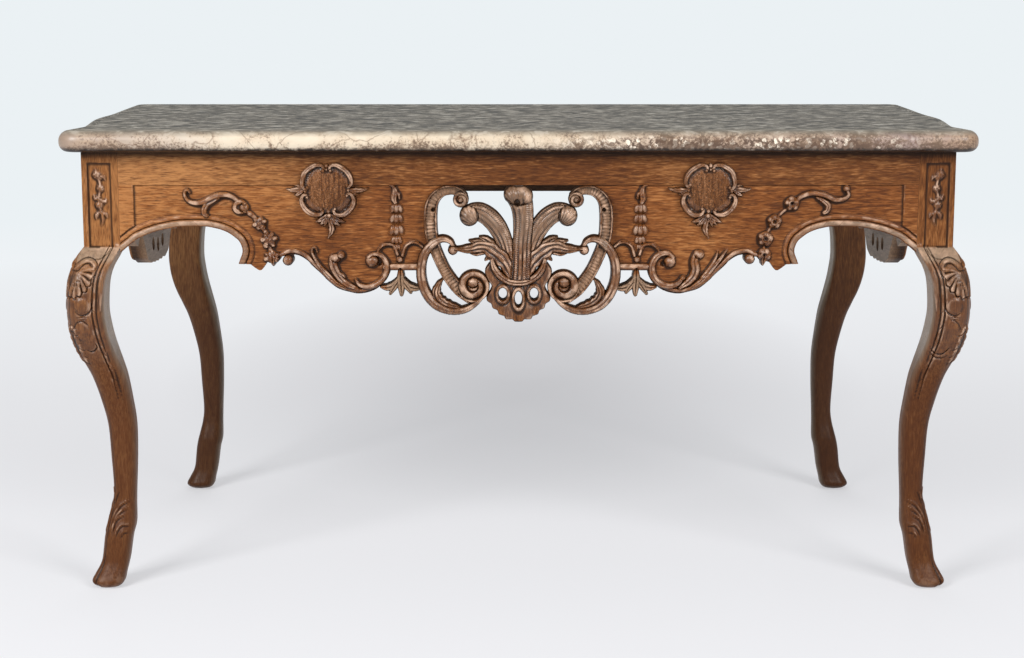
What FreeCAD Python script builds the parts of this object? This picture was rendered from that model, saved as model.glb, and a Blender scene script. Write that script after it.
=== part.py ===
import FreeCAD, Part
import math
import os

# Carved oak hunt table with a loose marble slab. Millimetres, +Z up, front towards -Y,
# origin on the floor under the middle of the slab.
V = FreeCAD.Vector

# Slab
TOP_WIDTH = 1624.0        # across the front corners
TOP_DEPTH = 830.0
TOP_THICK = 38.0
TOP_BACK_SPREAD = 14.0    # each side, the back corners stand wider than the front ones
TOP_HOLLOW = 14.0         # the sides draw in behind the front corners
TOP_CORNER = 36.0         # corner radius in plan
NOSE_UPPER = 20.0         # rounding of the upper arris
NOSE_LOWER = 15.0
TABLE_HEIGHT = 840.0

# Frame
FRONT_OVERHANG = 38.0
SIDE_OVERHANG = 37.0
BACK_OVERHANG = 8.0
BACK_INSET = 58.0         # each side, the back legs stand closer together than the front ones
POST = 65.0               # square of the leg's upper block
POST_HEIGHT = 170.0
RAIL_HEIGHT = 60.0
BOARD_THICK = 32.0        # front rail and front apron boards
FIELD_SINK = 3.0          # the carved field lies behind the plain border
ROOT = 5.0                # carving is rooted this deep in the board
BORDER = 26.0             # plain upright strip beside each front post
SIDE_THICK = 30.0
BACK_RAIL_HEIGHT = 147.0
BACK_RAIL_THICK = 30.0
BEARER_WIDTH = 60.0
BEARER_HEIGHT = 40.0
BEARER_PLACE = 430.0      # middle of each bearer from the table's middle
BEARER_LAP = 16.0
BEARER_LUG = 20.0
DOVETAIL = 0.25           # splay of a lug along its length

# Joints
TENON_THICK = 10.0
TENON_LENGTH = 35.0
TENON_SET = 11.0          # outer cheek of a tenon behind the outer face
TENON_SHOULDER = 10.0
APRON_TENON_DROP = 82.0   # lower edge of the front aprons' tenons under the rail
SIDE_TENON_DROP = 130.0   # lower edge of the side aprons' tenons under the frame's top
PEG = 8.0
PEG_SET = 12.0            # peg axis beyond the shoulder line
PEG_POINT = 4.0           # a peg runs this far past its tenon
FRONT_PEGS = (0.25, 0.75)  # places of the pegs along each tenon's height
BACK_PEGS = (0.1, 0.75)
SIDE_PEGS = (0.2, 0.57)
TONGUE_THICK = 8.0
TONGUE_DEPTH = 10.0
END_GAP = 0.5             # tenon, tongue and peg ends stop short of their holes
DOWEL = 8.0
DOWEL_LENGTH = 40.0
DOWEL_SET = 9.0           # dowel axis in front of the ornament's back

# Leg sizes, outer face to inner face
KNEE = 69.5
CALF = 57.0
SHANK = 47.0
ANKLE = 41.5
FETLOCK = 51.5
HOOF = 58.0
HOOF_CLEFT = 9.0          # half the cleft's width at the sole
CLEFT_HEIGHT = 75.0
CLEFT_DEPTH = 30.0
KNEE_SWELL = 33.0         # the knee stands this far outside the post
KNEE_BLEND = 40.0         # the square post turns into the rounded knee over this height
KNEE_EASE = 1.5           # a back leg keeps this far clear of the side apron
POST_ARRIS = 3.0
ANKLE_SET = 29.5          # the ankle stands this far inside the post
TOE_SWELL = 9.0

# Arch beside each front post, measured from the post's inner face and from the rail's lower edge
ARCH_SPRING = 121.0       # the arch springs this far below the rail
ARCH_CROWN = 73.5
ARCH_LENGTH = 218.0
ARCH_BAND = 23.0
CARTOUCHE_PLACE = 338.0
CARTOUCHE_WIDE = 98.0
CARTOUCHE_HIGH = 93.0
CARTOUCHE_PROUD = 8.0
CARTOUCHE_RIM = 9.0
CARTOUCHE_SINK = 4.0
HUSK_PLACE = 217.0
SWAG_PLACE = 286.0        # lowest point of the swag
SWAG_HALF = 49.0          # inner end of the swag from its lowest point
GARLAND_FOOT = 62.0       # the garland's foot beyond the arch
FLOWER_PROUD = 8.0
BAR_DROP = 152.5          # lower edge of the bar beside the centre, under the rail

# Shell drop in the middle of each side apron
DROP_HALF = 142.0
DROP_STEP = 15.0          # between the arch and the drop

# Centre ornament
CARVING_BACK = 20.0       # back of the ornament behind the front face
CARVING_WALL = 20.0
CROWN = 9.0
SHELL_PROUD = 8.0

# Places that follow from the sizes above
FRAME_TOP = TABLE_HEIGHT - TOP_THICK
KNEE_LINE = FRAME_TOP - POST_HEIGHT
RAIL_BOTTOM = FRAME_TOP - RAIL_HEIGHT
FRONT = -TOP_DEPTH / 2 + FRONT_OVERHANG
BACK = TOP_DEPTH / 2 - BACK_OVERHANG
OUT_FRONT = TOP_WIDTH / 2 - SIDE_OVERHANG
OUT_BACK = OUT_FRONT - BACK_INSET
IN_FRONT = OUT_FRONT - POST
IN_BACK = OUT_BACK - POST
FIELD = FRONT + FIELD_SINK


def box(x0, x1, y0, y1, z0, z1):
    return Part.makeBox(x1 - x0, y1 - y0, z1 - z0, V(x0, y0, z0))


def mirrored(shape):
    return shape.mirror(V(0, 0, 0), V(1, 0, 0))


def curve(points):
    path = Part.BSplineCurve()
    path.interpolate(points)
    return path


def line(a, b):
    return Part.LineSegment(a, b).toShape()


def arc(a, b, c):
    return Part.Arc(a, b, c).toShape()


def prism(edges, along):
    return Part.Face(Part.Wire(edges)).extrude(along)


def joined(shapes):
    return shapes[0].fuse(shapes[1:]).removeSplitter()


def share(values, t):
    # Value at share t of a row of evenly spaced values.
    place = t * (len(values) - 1)
    first = min(int(place), len(values) - 2)
    return values[first] + (values[first + 1] - values[first]) * (place - first)


def stroke(points, halves, back, wall, crown, count=16):
    # A carved band along a path in the front view: flat back, upright walls, rounded front.
    path = curve([V(x, 0, z) for x, z in points])
    wires = []
    for i in range(count):
        t = i / (count - 1)
        u = path.parameterAtDistance(path.length() * t, path.FirstParameter)
        p = path.value(u)
        along = path.tangent(u)[0]
        across = V(-along.z, 0, along.x) * share(halves, t)
        left, right = p - across, p + across
        a0, a1 = left + V(0, back, 0), left + V(0, back - wall, 0)
        b0, b1 = right + V(0, back, 0), right + V(0, back - wall, 0)
        top = p + V(0, back - wall - crown, 0)
        wires.append(Part.Wire([line(a0, b0), line(b0, b1), arc(b1, top, a1), line(a1, a0)]))
    return Part.makeLoft(wires, True, False)


def button(x, z, radius, back, front):
    # Round boss with a softened front, axis along Y.
    disc = Part.makeCylinder(radius, back - front, V(x, back, z), V(0, -1, 0))
    rim = [e for e in disc.Edges if abs(e.BoundBox.YMax - front) < 0.01]
    return disc.makeFillet(radius * 0.45, rim)


def rosette(x, z, radius, back, proud):
    # Turned flower boss with a sunk eye.
    profile = [V(0, back, 0), V(radius, back, 0), V(radius, back - 0.4 * proud, 0)]
    rim = arc(profile[2], V(radius * 0.72, back - proud, 0), V(radius * 0.35, back - 0.7 * proud, 0))
    tip = V(0, back - 0.9 * proud, 0)
    edges = [line(profile[0], profile[1]), line(profile[1], profile[2]), rim]
    edges += [line(V(radius * 0.35, back - 0.7 * proud, 0), tip), line(tip, profile[0])]
    turned = Part.Face(Part.Wire(edges)).revolve(V(0, 0, 0), V(0, 1, 0), 360)
    turned.translate(V(x, 0, z))
    return turned


def top_slab():
    # Serpentine plan: straight front and back, drawn-in sides, rounded corners, thumb-moulded edge.
    half = TOP_WIDTH / 2
    wide = half + TOP_BACK_SPREAD
    y0, y1 = -TOP_DEPTH / 2, TOP_DEPTH / 2
    r = TOP_CORNER
    s = math.sqrt(0.5)
    front_arc = (V(half - r, y0, 0), V(half - r + r * s, y0 + r - r * s, 0), V(half, y0 + r, 0))
    back_arc = (V(wide, y1 - r, 0), V(wide - r + r * s, y1 - r + r * s, 0), V(wide - r, y1, 0))
    reach = y1 - y0
    side = Part.BSplineCurve()
    side.interpolate(
        Points=[front_arc[2], V(half - TOP_HOLLOW, y0 + 0.155 * reach, 0),
                V(half + TOP_BACK_SPREAD * 0.55, y0 + 0.42 * reach, 0),
                V(half + TOP_BACK_SPREAD * 0.4, y0 + 0.58 * reach, 0), back_arc[0]],
        InitialTangent=V(0, 1, 0), FinalTangent=V(0, 1, 0))
    right = [arc(*front_arc), side.toShape(), arc(*back_arc)]
    left = [mirrored(e) for e in right]
    front = line(V(-half + r, y0, 0), V(half - r, y0, 0))
    back = line(V(wide - r, y1, 0), V(-wide + r, y1, 0))
    edges = Part.__sortEdges__([front, back] + right + left)
    slab = prism(edges, V(0, 0, TOP_THICK))
    slab.translate(V(0, 0, FRAME_TOP))
    upper = [e for e in slab.Edges if e.BoundBox.ZMin > TABLE_HEIGHT - 0.01]
    slab = slab.makeFillet(NOSE_UPPER, upper)
    lower = [e for e in slab.Edges if e.BoundBox.ZMax < FRAME_TOP + 0.01]
    return slab.makeFillet(NOSE_LOWER, lower)


def leg_stations():
    # (share of the knee line's height, swing in from the post's outer face, thickness), knee to sole.
    return [
        (1.0, 0.0, POST),
        (0.965, -0.48 * KNEE_SWELL, KNEE),
        (0.91, -0.84 * KNEE_SWELL, KNEE),
        (0.834, -KNEE_SWELL, KNEE),
        (0.763, -0.88 * KNEE_SWELL, KNEE),
        (0.696, -0.5 * KNEE_SWELL, 0.35 * KNEE + 0.65 * CALF),
        (0.639, 0.0, 0.2 * KNEE + 0.8 * CALF),
        (0.585, 0.37 * ANKLE_SET, CALF),
        (0.451, 0.84 * ANKLE_SET, 0.25 * CALF + 0.75 * SHANK),
        (0.316, 0.98 * ANKLE_SET, 0.5 * SHANK + 0.5 * ANKLE),
        (0.266, ANKLE_SET, ANKLE),
        (0.222, 0.85 * ANKLE_SET, 0.5 * ANKLE + 0.5 * FETLOCK),
        (0.174, 0.6 * ANKLE_SET, FETLOCK),
        (0.127, 0.4 * ANKLE_SET, FETLOCK),
        (0.071, 0.25 * ANKLE_SET, FETLOCK),
        (0.022, -TOE_SWELL, HOOF),
        (0.0, -0.45 * TOE_SWELL, 0.85 * HOOF),
    ]


def leg_section(x0, x1, y0, y1, z, soft, crisp):
    # Rounded section with a soft outer corner at (x0, y0) and crisper ones elsewhere.
    corners = [(x0, y0, soft), (x1, y0, crisp), (x1, y1, crisp), (x0, y1, crisp)]
    sx = 1 if x1 > x0 else -1
    sy = 1 if y1 > y0 else -1
    turns = [(sx, sy), (-sx, sy), (-sx, -sy), (sx, -sy)]
    k = 1 - math.sqrt(0.5)
    stops = []
    for i, ((x, y, r), (tx, ty)) in enumerate(zip(corners, turns)):
        along_y = V(x, y + ty * r, z)
        along_x = V(x + tx * r, y, z)
        middle = V(x + tx * r * k, y + ty * r * k, z)
        stops.append((along_y, middle, along_x) if i % 2 == 0 else (along_x, middle, along_y))
    edges = []
    for i in range(4):
        edges.append(arc(*stops[i]))
        edges.append(line(stops[i][2], stops[(i + 1) % 4][0]))
    return Part.Wire(edges)


def leg_body(outer, face, to_back):
    # Cabriole leg on the right-hand side; to_back is 1 for a front leg, 0 for a flat-backed back leg.
    wires = []
    for height, swing, thick in leg_stations():
        z = height * KNEE_LINE
        x0 = outer - swing
        x1 = x0 - thick
        if to_back:
            y0, y1 = face + swing, face + swing + thick
        else:
            y0, y1 = face, face - min(thick, POST - KNEE_EASE)
        knee = min(1.0, (KNEE_LINE - z) / KNEE_BLEND)
        crisp = POST_ARRIS + (0.16 * thick - POST_ARRIS) * knee
        soft = POST_ARRIS + (0.36 * thick - POST_ARRIS) * knee if to_back else crisp
        wires.append(leg_section(x0, x1, y0, y1, z, soft, crisp))
    leg = Part.makeLoft(wires, True, False)
    y0, y1 = (face, face + POST) if to_back else (face - POST, face)
    post = box(outer - POST, outer, y0, y1, KNEE_LINE, FRAME_TOP)
    leg = post.fuse(leg)
    if to_back:
        # Cleft of the cloven hoof, on the outer diagonal of the toe.
        inset = 0.12 * HOOF
        toe = V(outer + TOE_SWELL - inset, face - TOE_SWELL + inset, 0)
        base = -0.5 * HOOF_CLEFT
        notch = [V(HOOF_CLEFT, 0, base), V(0, 0, CLEFT_HEIGHT), V(-HOOF_CLEFT, 0, base)]
        wedge = Part.Face(Part.makePolygon(notch + notch[:1])).extrude(V(0, CLEFT_DEPTH, 0))
        wedge.translate(V(0, -CLEFT_DEPTH / 2, 0))
        wedge.rotate(V(0, 0, 0), V(0, 0, 1), 45)
        wedge.translate(toe)
        leg = leg.cut(wedge)
    return leg


def tenon_heights(low, high):
    return low + TENON_SHOULDER, high - TENON_SHOULDER


RAIL_TENON = tenon_heights(RAIL_BOTTOM, FRAME_TOP)
APRON_TENON = (RAIL_BOTTOM - APRON_TENON_DROP, RAIL_BOTTOM - TENON_SHOULDER)
SIDE_TENON = (FRAME_TOP - SIDE_TENON_DROP, FRAME_TOP - TENON_SHOULDER)
BACK_TENON = (FRAME_TOP - BACK_RAIL_HEIGHT + TENON_SHOULDER, FRAME_TOP - TENON_SHOULDER)


def along_x_tenon(shoulder, face, inward, heights, gap):
    # Tenon entering a right-hand post in +X, set behind an outer face that looks along Y.
    y0 = face + inward * TENON_SET
    y1 = y0 + inward * TENON_THICK
    reach = shoulder + TENON_LENGTH + gap
    return box(shoulder, reach, min(y0, y1), max(y0, y1), heights[0], heights[1])


def along_y_tenon(shoulder, outer, inward, gap):
    # Tenon of a side apron entering a right-hand post along Y.
    reach = shoulder + inward * (TENON_LENGTH + gap)
    x1 = outer - TENON_SET
    y0, y1 = min(shoulder, reach), max(shoulder, reach)
    return box(x1 - TENON_THICK, x1, y0, y1, SIDE_TENON[0], SIDE_TENON[1])


def y_pegs(shoulder, face, inward, heights, places, gap):
    # Pegs through a tenon, driven from the post's inner face so that none shows outside.
    deep = face + inward * (TENON_SET - PEG_POINT - gap)
    start = face + inward * POST
    x = shoulder + PEG_SET
    pegs = []
    for place in places:
        z = share(heights, place)
        pegs.append(Part.makeCylinder(PEG / 2, abs(start - deep), V(x, start, z), V(0, -inward, 0)))
    return pegs


def x_pegs(shoulder, outer, inward, gap):
    deep = outer - TENON_SET + PEG_POINT + gap
    start = outer - POST
    y = shoulder + inward * PEG_SET
    pegs = []
    for place in SIDE_PEGS:
        z = share(SIDE_TENON, place)
        pegs.append(Part.makeCylinder(PEG / 2, deep - start, V(start, y, z), V(1, 0, 0)))
    return pegs


FRONT_BACKFACE = FRONT + POST
BACK_FRONTFACE = BACK - POST


def front_pegs(gap):
    pegs = y_pegs(IN_FRONT, FRONT, 1, RAIL_TENON, FRONT_PEGS, gap)
    pegs += y_pegs(IN_FRONT, FRONT, 1, APRON_TENON, FRONT_PEGS, gap)
    return pegs + x_pegs(FRONT_BACKFACE, OUT_FRONT, -1, gap)


def back_pegs(gap):
    pegs = y_pegs(IN_BACK, BACK, -1, BACK_TENON, BACK_PEGS, gap)
    return pegs + x_pegs(BACK_FRONTFACE, OUT_BACK, 1, gap)


def front_leg():
    leg = leg_body(OUT_FRONT, FRONT, 1)
    holes = [along_x_tenon(IN_FRONT, FRONT, 1, RAIL_TENON, END_GAP)]
    holes.append(along_x_tenon(IN_FRONT, FRONT, 1, APRON_TENON, END_GAP))
    holes.append(along_y_tenon(FRONT_BACKFACE, OUT_FRONT, -1, END_GAP))
    return leg.cut(holes + front_pegs(END_GAP))


def back_leg():
    leg = leg_body(OUT_BACK, BACK, 0)
    holes = [along_x_tenon(IN_BACK, BACK, -1, BACK_TENON, END_GAP)]
    holes.append(along_y_tenon(BACK_FRONTFACE, OUT_BACK, 1, END_GAP))
    return leg.cut(holes + back_pegs(END_GAP))


def tongue_ends():
    return HUSK_PLACE, IN_FRONT - BORDER


def tongue(gap):
    x0, x1 = tongue_ends()
    y0 = FRONT + (BOARD_THICK - TONGUE_THICK) / 2
    reach = TONGUE_DEPTH + gap
    return box(x0 - gap, x1 + gap, y0, y0 + TONGUE_THICK, RAIL_BOTTOM - reach, RAIL_BOTTOM + reach)


def bearer():
    x0, x1 = BEARER_PLACE - BEARER_WIDTH / 2, BEARER_PLACE + BEARER_WIDTH / 2
    y0, y1 = FRONT + BOARD_THICK, BACK - BACK_RAIL_THICK
    body = box(x0, x1, y0, y1, FRAME_TOP - BEARER_HEIGHT, FRAME_TOP)
    return body.fuse(bearer_lugs()).removeSplitter()


def bearer_lugs():
    # Dovetail lugs let into the upper edges of the front and back rails.
    x0, x1 = BEARER_PLACE - BEARER_WIDTH / 2, BEARER_PLACE + BEARER_WIDTH / 2
    splay = DOVETAIL * BEARER_LAP
    lugs = []
    for y, way in ((FRONT + BOARD_THICK, -1), (BACK - BACK_RAIL_THICK, 1)):
        end = y + way * BEARER_LAP
        plan = [V(x0 + splay, y, 0), V(x1 - splay, y, 0), V(x1, end, 0), V(x0, end, 0)]
        lug = Part.Face(Part.makePolygon(plan + plan[:1])).extrude(V(0, 0, BEARER_LUG))
        lug.translate(V(0, 0, FRAME_TOP - BEARER_LUG))
        lugs.append(lug)
    return lugs


def ornament_dowel(gap):
    y = FRONT + CARVING_BACK - DOWEL_SET
    length = DOWEL_LENGTH + 2 * gap
    return Part.makeCylinder(DOWEL / 2, length, V(0, y, RAIL_BOTTOM - length / 2), V(0, 0, 1))


def front_rail():
    rail = box(-IN_FRONT, IN_FRONT, FRONT, FRONT + BOARD_THICK, RAIL_BOTTOM, FRAME_TOP)
    tenon = along_x_tenon(IN_FRONT, FRONT, 1, RAIL_TENON, 0)
    rail = rail.fuse([tenon, mirrored(tenon)])
    cuts = [tongue(END_GAP)] + bearer_lugs() + y_pegs(IN_FRONT, FRONT, 1, RAIL_TENON, FRONT_PEGS, 0)
    cuts += [mirrored(c) for c in cuts]
    return rail.cut(cuts + [ornament_dowel(END_GAP)])


def at(x, z, y):
    # Front-view point; z is measured from the rail's lower edge.
    return V(x, y, RAIL_BOTTOM + z)


def arch_edges(y):
    # Opening edge of the arch, from the post to the hooked cusp.
    x0 = IN_FRONT
    spring, crown = -ARCH_SPRING, -ARCH_CROWN
    top = (x0 - 0.6 * ARCH_LENGTH, crown)
    bend = (x0 - ARCH_LENGTH, crown - 43.0)
    tip = (x0 - ARCH_LENGTH + 8.0, crown - 66.5)
    rise = arc(at(x0, spring, y), at(x0 - 52.0, crown - 15.5, y), at(top[0], top[1], y))
    fall = arc(at(top[0], top[1], y), at(x0 - 0.875 * ARCH_LENGTH, crown - 9.5, y), at(bend[0], bend[1], y))
    hook = arc(at(bend[0], bend[1], y), at(bend[0] + 1.5, bend[1] - 12.0, y), at(tip[0], tip[1], y))
    return [rise, fall, hook], tip


def swag_x(t):
    # Along the swag's outer half: 0 at its lowest point, 1 where it leaves the garland.
    return SWAG_PLACE + t * (IN_FRONT - ARCH_LENGTH - GARLAND_FOOT - SWAG_PLACE)


def apron_profile(y):
    # Lower edge from the arch's cusp to the bar beside the centre, and the lap behind the ornament.
    arch, tip = arch_edges(y)
    cusp = tip[0]
    drop = [(cusp - 21.0, -142.5), (cusp - 37.0, -152.5), (cusp - 50.0, -139.5)]
    flower = [(cusp - 59.0, -145.5), (cusp - 70.0, -132.0)]
    edges = arch + [line(at(tip[0], tip[1], y), at(drop[0][0], drop[0][1], y))]
    edges.append(line(at(drop[0][0], drop[0][1], y), at(drop[1][0], drop[1][1], y)))
    edges.append(line(at(drop[1][0], drop[1][1], y), at(drop[2][0], drop[2][1], y)))
    edges.append(arc(at(drop[2][0], drop[2][1], y), at(flower[0][0], flower[0][1], y),
                     at(flower[1][0], flower[1][1], y)))
    swag = [flower[1], (swag_x(0.82), -126.0), (swag_x(0.69), -129.0), (swag_x(0.53), -154.0),
            (swag_x(0.36), -174.0), (swag_x(0.18), -190.5), (SWAG_PLACE, -195.0), (SWAG_PLACE - 24.0, -189.5),
            (SWAG_PLACE - 0.86 * SWAG_HALF, -174.0), (SWAG_PLACE - SWAG_HALF, -BAR_DROP)]
    edges.append(curve([at(x, z, y) for x, z in swag]).toShape())
    bar = [(SWAG_PLACE - SWAG_HALF, -BAR_DROP), (173.0, -BAR_DROP)]
    edges.append(line(at(bar[0][0], bar[0][1], y), at(bar[1][0], bar[1][1], y)))
    lap = [bar[1], (173.0, -141.0), (168.0, -124.0), (158.0, -108.0), (155.0, -85.0), (156.0, -62.0),
           (149.0, -36.0), (136.0, -17.0), (120.0, -8.0)]
    edges.append(curve([at(x, z, y) for x, z in lap]).toShape())
    edges.append(line(at(lap[-1][0], lap[-1][1], y), at(lap[-1][0], 0, y)))
    edges.append(line(at(lap[-1][0], 0, y), at(IN_FRONT, 0, y)))
    edges.append(line(at(IN_FRONT, 0, y), at(IN_FRONT, -ARCH_SPRING, y)))
    return edges


def carving(points, halves, proud, crown, count=14):
    # Raised stroke on the sunk field, rooted inside the board.
    path = [(x, RAIL_BOTTOM + z) for x, z in points]
    return stroke(path, halves, FIELD + ROOT, ROOT + proud, crown, count)


def sprig(y):
    # Pendant leaves under the bar, reaching the swag on one side and the ornament on the other.
    x = HUSK_PLACE - 3.0
    bar = -BAR_DROP
    left = [(8, 1), (8, -15), (15, -26), (27, -33), (38, -33)]
    under = [(38, -33), (32, -39), (21, -36), (16, -45), (8, -37), (0, -46), (-8, -38), (-16, -44),
             (-24, -37), (-36, -36)]
    right = [(-36, -36), (-36, -31), (-24, -27), (-11, -21), (-7, -13), (-7, 1)]
    edges = [curve([at(x + a, bar + b, y) for a, b in left]).toShape()]
    stops = [at(x + a, bar + b, y) for a, b in under]
    for i in range(len(stops) - 1):
        edges.append(line(stops[i], stops[i + 1]))
    edges.append(curve([at(x + a, bar + b, y) for a, b in right]).toShape())
    edges.append(line(at(x - 7, bar + 1, y), at(x + 8, bar + 1, y)))
    return edges


def front_apron(ornament):
    board = prism(apron_profile(FIELD), V(0, BOARD_THICK - FIELD_SINK, 0))
    low = RAIL_BOTTOM - ARCH_SPRING
    strip = box(IN_FRONT - BORDER, IN_FRONT, FRONT, FIELD + 1.0, low, RAIL_BOTTOM)
    board = board.fuse(strip.common(prism(apron_profile(FRONT), V(0, BOARD_THICK, 0))))
    parts = [board, prism(sprig(FIELD + 2.0), V(0, 18.0, 0))]
    x0 = IN_FRONT
    crown = -ARCH_CROWN
    half = ARCH_BAND / 2
    cusp = x0 - ARCH_LENGTH
    arch = [(x0 + 4.0, half - ARCH_SPRING), (x0 - 8.0, crown - 30.0), (x0 - 30.0, crown - 13.0),
            (x0 - 62.0, crown + 3.0), (x0 - 100.0, crown + half - 0.5), (x0 - 134.0, crown + half),
            (cusp + 56.0, crown + 9.5), (cusp + 31.0, crown + 0.5), (cusp + 10.0, crown - 15.0),
            (cusp - 7.0, crown - 38.0), (cusp - 8.0, crown - 56.0), (cusp - 3.0, crown - 67.0)]
    band = carving(arch, [half, half, half, half, half, 0.8 * half, 0.6 * half], 3.0, 3.0, 20)
    parts.append(band.cut(box(IN_FRONT, OUT_FRONT, FRONT - 50.0, FRONT + 50.0, 0, FRAME_TOP)))
    # Swag scroll with its eye, and the two leaf tips that run along the lower edge.
    p = SWAG_PLACE
    volute = [(p - 28.0, -126.0), (p - 39.0, -127.5), (p - 46.5, -139.0), (p - 45.0, -157.0),
              (p - 35.0, -174.0), (p - 18.0, -183.0), (p - 2.0, -180.0), (p + 6.0, -170.0)]
    parts.append(carving(volute, [5.0, 6.0, 7.0, 7.0, 6.0, 5.0, 3.0], 6.0, 4.0))
    parts.append(button(p - 23.0, RAIL_BOTTOM - 135.0, 9.0, FIELD + 5.0, FIELD - 10.0))
    edge = [(swag_x(0.58), -112.0), (swag_x(0.57), -124.0), (swag_x(0.51), -139.0), (swag_x(0.41), -157.0),
            (swag_x(0.28), -174.0), (swag_x(0.12), -184.0)]
    parts.append(carving(edge, [5.0, 7.0, 8.0, 8.0, 7.0, 5.0], 5.0, 4.0))
    leaf = [(swag_x(0.22), -124.5), (swag_x(0.3), -126.0), (swag_x(0.34), -136.0), (swag_x(0.33), -150.0),
            (swag_x(0.26), -165.0), (swag_x(0.16), -177.0), (swag_x(0.04), -184.0)]
    parts.append(carving(leaf, [5.0, 6.0, 6.0, 6.0, 5.0, 4.0], 7.0, 4.0))
    parts.append(button(swag_x(0.89), RAIL_BOTTOM - 134.0, 10.0, FIELD + 12.0, FIELD - 8.0))
    # Garland: one scrolled leaf and a chain of flowers down to the cusp.
    scroll = [(x0 - 122.0, -11.0), (x0 - 116.0, -20.0), (x0 - 124.0, -30.0), (x0 - 138.0, -31.0),
              (x0 - 158.0, -22.0), (x0 - 180.0, -17.0), (x0 - 202.0, -22.0), (x0 - 216.0, -36.0)]
    parts.append(carving(scroll, [3.0, 4.0, 4.5, 5.0, 6.0, 7.0, 6.0], 3.0, 3.0))
    for x, z, r in ((-3.0, -40.0, 13.0), (31.0, -67.0, 13.0), (47.0, -101.0, 15.0), (50.0, -130.0, 14.0)):
        parts.append(rosette(cusp - x, RAIL_BOTTOM + z, r, FIELD + ROOT, ROOT + FLOWER_PROUD))
    # Husk drop: a flame over tiers of berries, and the leaves that spring below it.
    h = HUSK_PLACE
    flame = [(h + 9.0, -4.0), (h + 4.0, -10.0), (h, -19.0), (h + 1.0, -32.0)]
    parts.append(carving(flame, [2.0, 6.0, 7.5, 5.0], 3.0, 5.0, 8))
    for z, spread, r in ((-42.0, 5.5, 7.0), (-61.0, 7.0, 7.5), (-81.5, 7.0, 7.5), (-99.0, 3.0, 6.5)):
        for side in (-spread, spread):
            parts.append(Part.makeSphere(r, V(h + side, FIELD, RAIL_BOTTOM + z)))
    outer = [(h - 2.0, -131.0), (h + 9.0, -116.0), (h + 20.0, -107.0), (h + 31.0, -108.0), (h + 39.0, -120.0)]
    inner = [(h - 6.0, -131.0), (h - 13.0, -114.0), (h - 24.0, -104.0), (h - 36.0, -104.0), (h - 44.0, -110.0)]
    parts.append(carving(outer, [4.0, 6.0, 7.0, 6.0, 3.0], 4.0, 4.0, 10))
    parts.append(carving(inner, [4.0, 6.0, 7.0, 6.0, 3.0], 4.0, 4.0, 10))
    board = joined(parts)
    board = board.fuse(along_x_tenon(IN_FRONT, FRONT, 1, APRON_TENON, 0)).removeSplitter()
    cuts = [tongue(END_GAP), ornament] + y_pegs(IN_FRONT, FRONT, 1, APRON_TENON, FRONT_PEGS, 0)
    return board.cut(cuts)


def cartouche(rail):
    # Applied shield of four lobes with a domed, matted field, side leaves and a palmette below.
    x, z = CARTOUCHE_PLACE, RAIL_BOTTOM - 6.5
    back, front = FIELD, FRONT - CARTOUCHE_PROUD
    a, b = CARTOUCHE_WIDE / 2, CARTOUCHE_HIGH / 2
    r = 0.54 * a
    lobes = [Part.makeCylinder(r, back - front, V(x + i * (a - r), back, z + j * (b - r)), V(0, -1, 0))
             for i in (-1, 1) for j in (-1, 1)]
    middle = box(x - a + r, x + a - r, front, back, z - b + r, z + b - r)
    shield = joined(lobes + [middle])
    sunk = front + CARTOUCHE_SINK
    bowl = [Part.makeCylinder(r - CARTOUCHE_RIM, back - front, V(x + i * (a - r), sunk, z + j * (b - r)),
                              V(0, -1, 0)) for i in (-1, 1) for j in (-1, 1)]
    bowl.append(box(x - a + r, x + a - r, front - CARTOUCHE_SINK, sunk, z - b + r, z + b - r))
    shield = shield.cut(joined(bowl))
    swell = 3.0 * b
    dome = Part.makeSphere(swell, V(x, front + swell - 1.0, z))
    pad = Part.makeCylinder(0.62 * b, back - front + 1.0, V(x, back, z), V(0, -1, 0))
    shield = shield.fuse(dome.common(pad))

    def leaf(points, halves):
        path = [(x + px, z + pz) for px, pz in points]
        return stroke(path, halves, back, FIELD_SINK + 3.0, 3.0, 8)

    leaves = [leaf([(-40, 0), (-55, -1), (-73, -5)], [6.0, 7.0, 1.5])]
    leaves.append(leaf([(40, 0), (56, 1), (71, 2)], [6.0, 7.0, 1.5]))
    leaves.append(leaf([(-2, -38), (-14, -51), (-22, -63)], [5.0, 7.0, 2.5]))
    leaves.append(leaf([(2, -38), (14, -51), (27, -62)], [5.0, 7.0, 2.5]))
    leaves.append(leaf([(0, -38), (0, -66), (-1, -88)], [7.0, 7.0, 2.0]))
    return joined([shield] + leaves).cut(rail)


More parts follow.
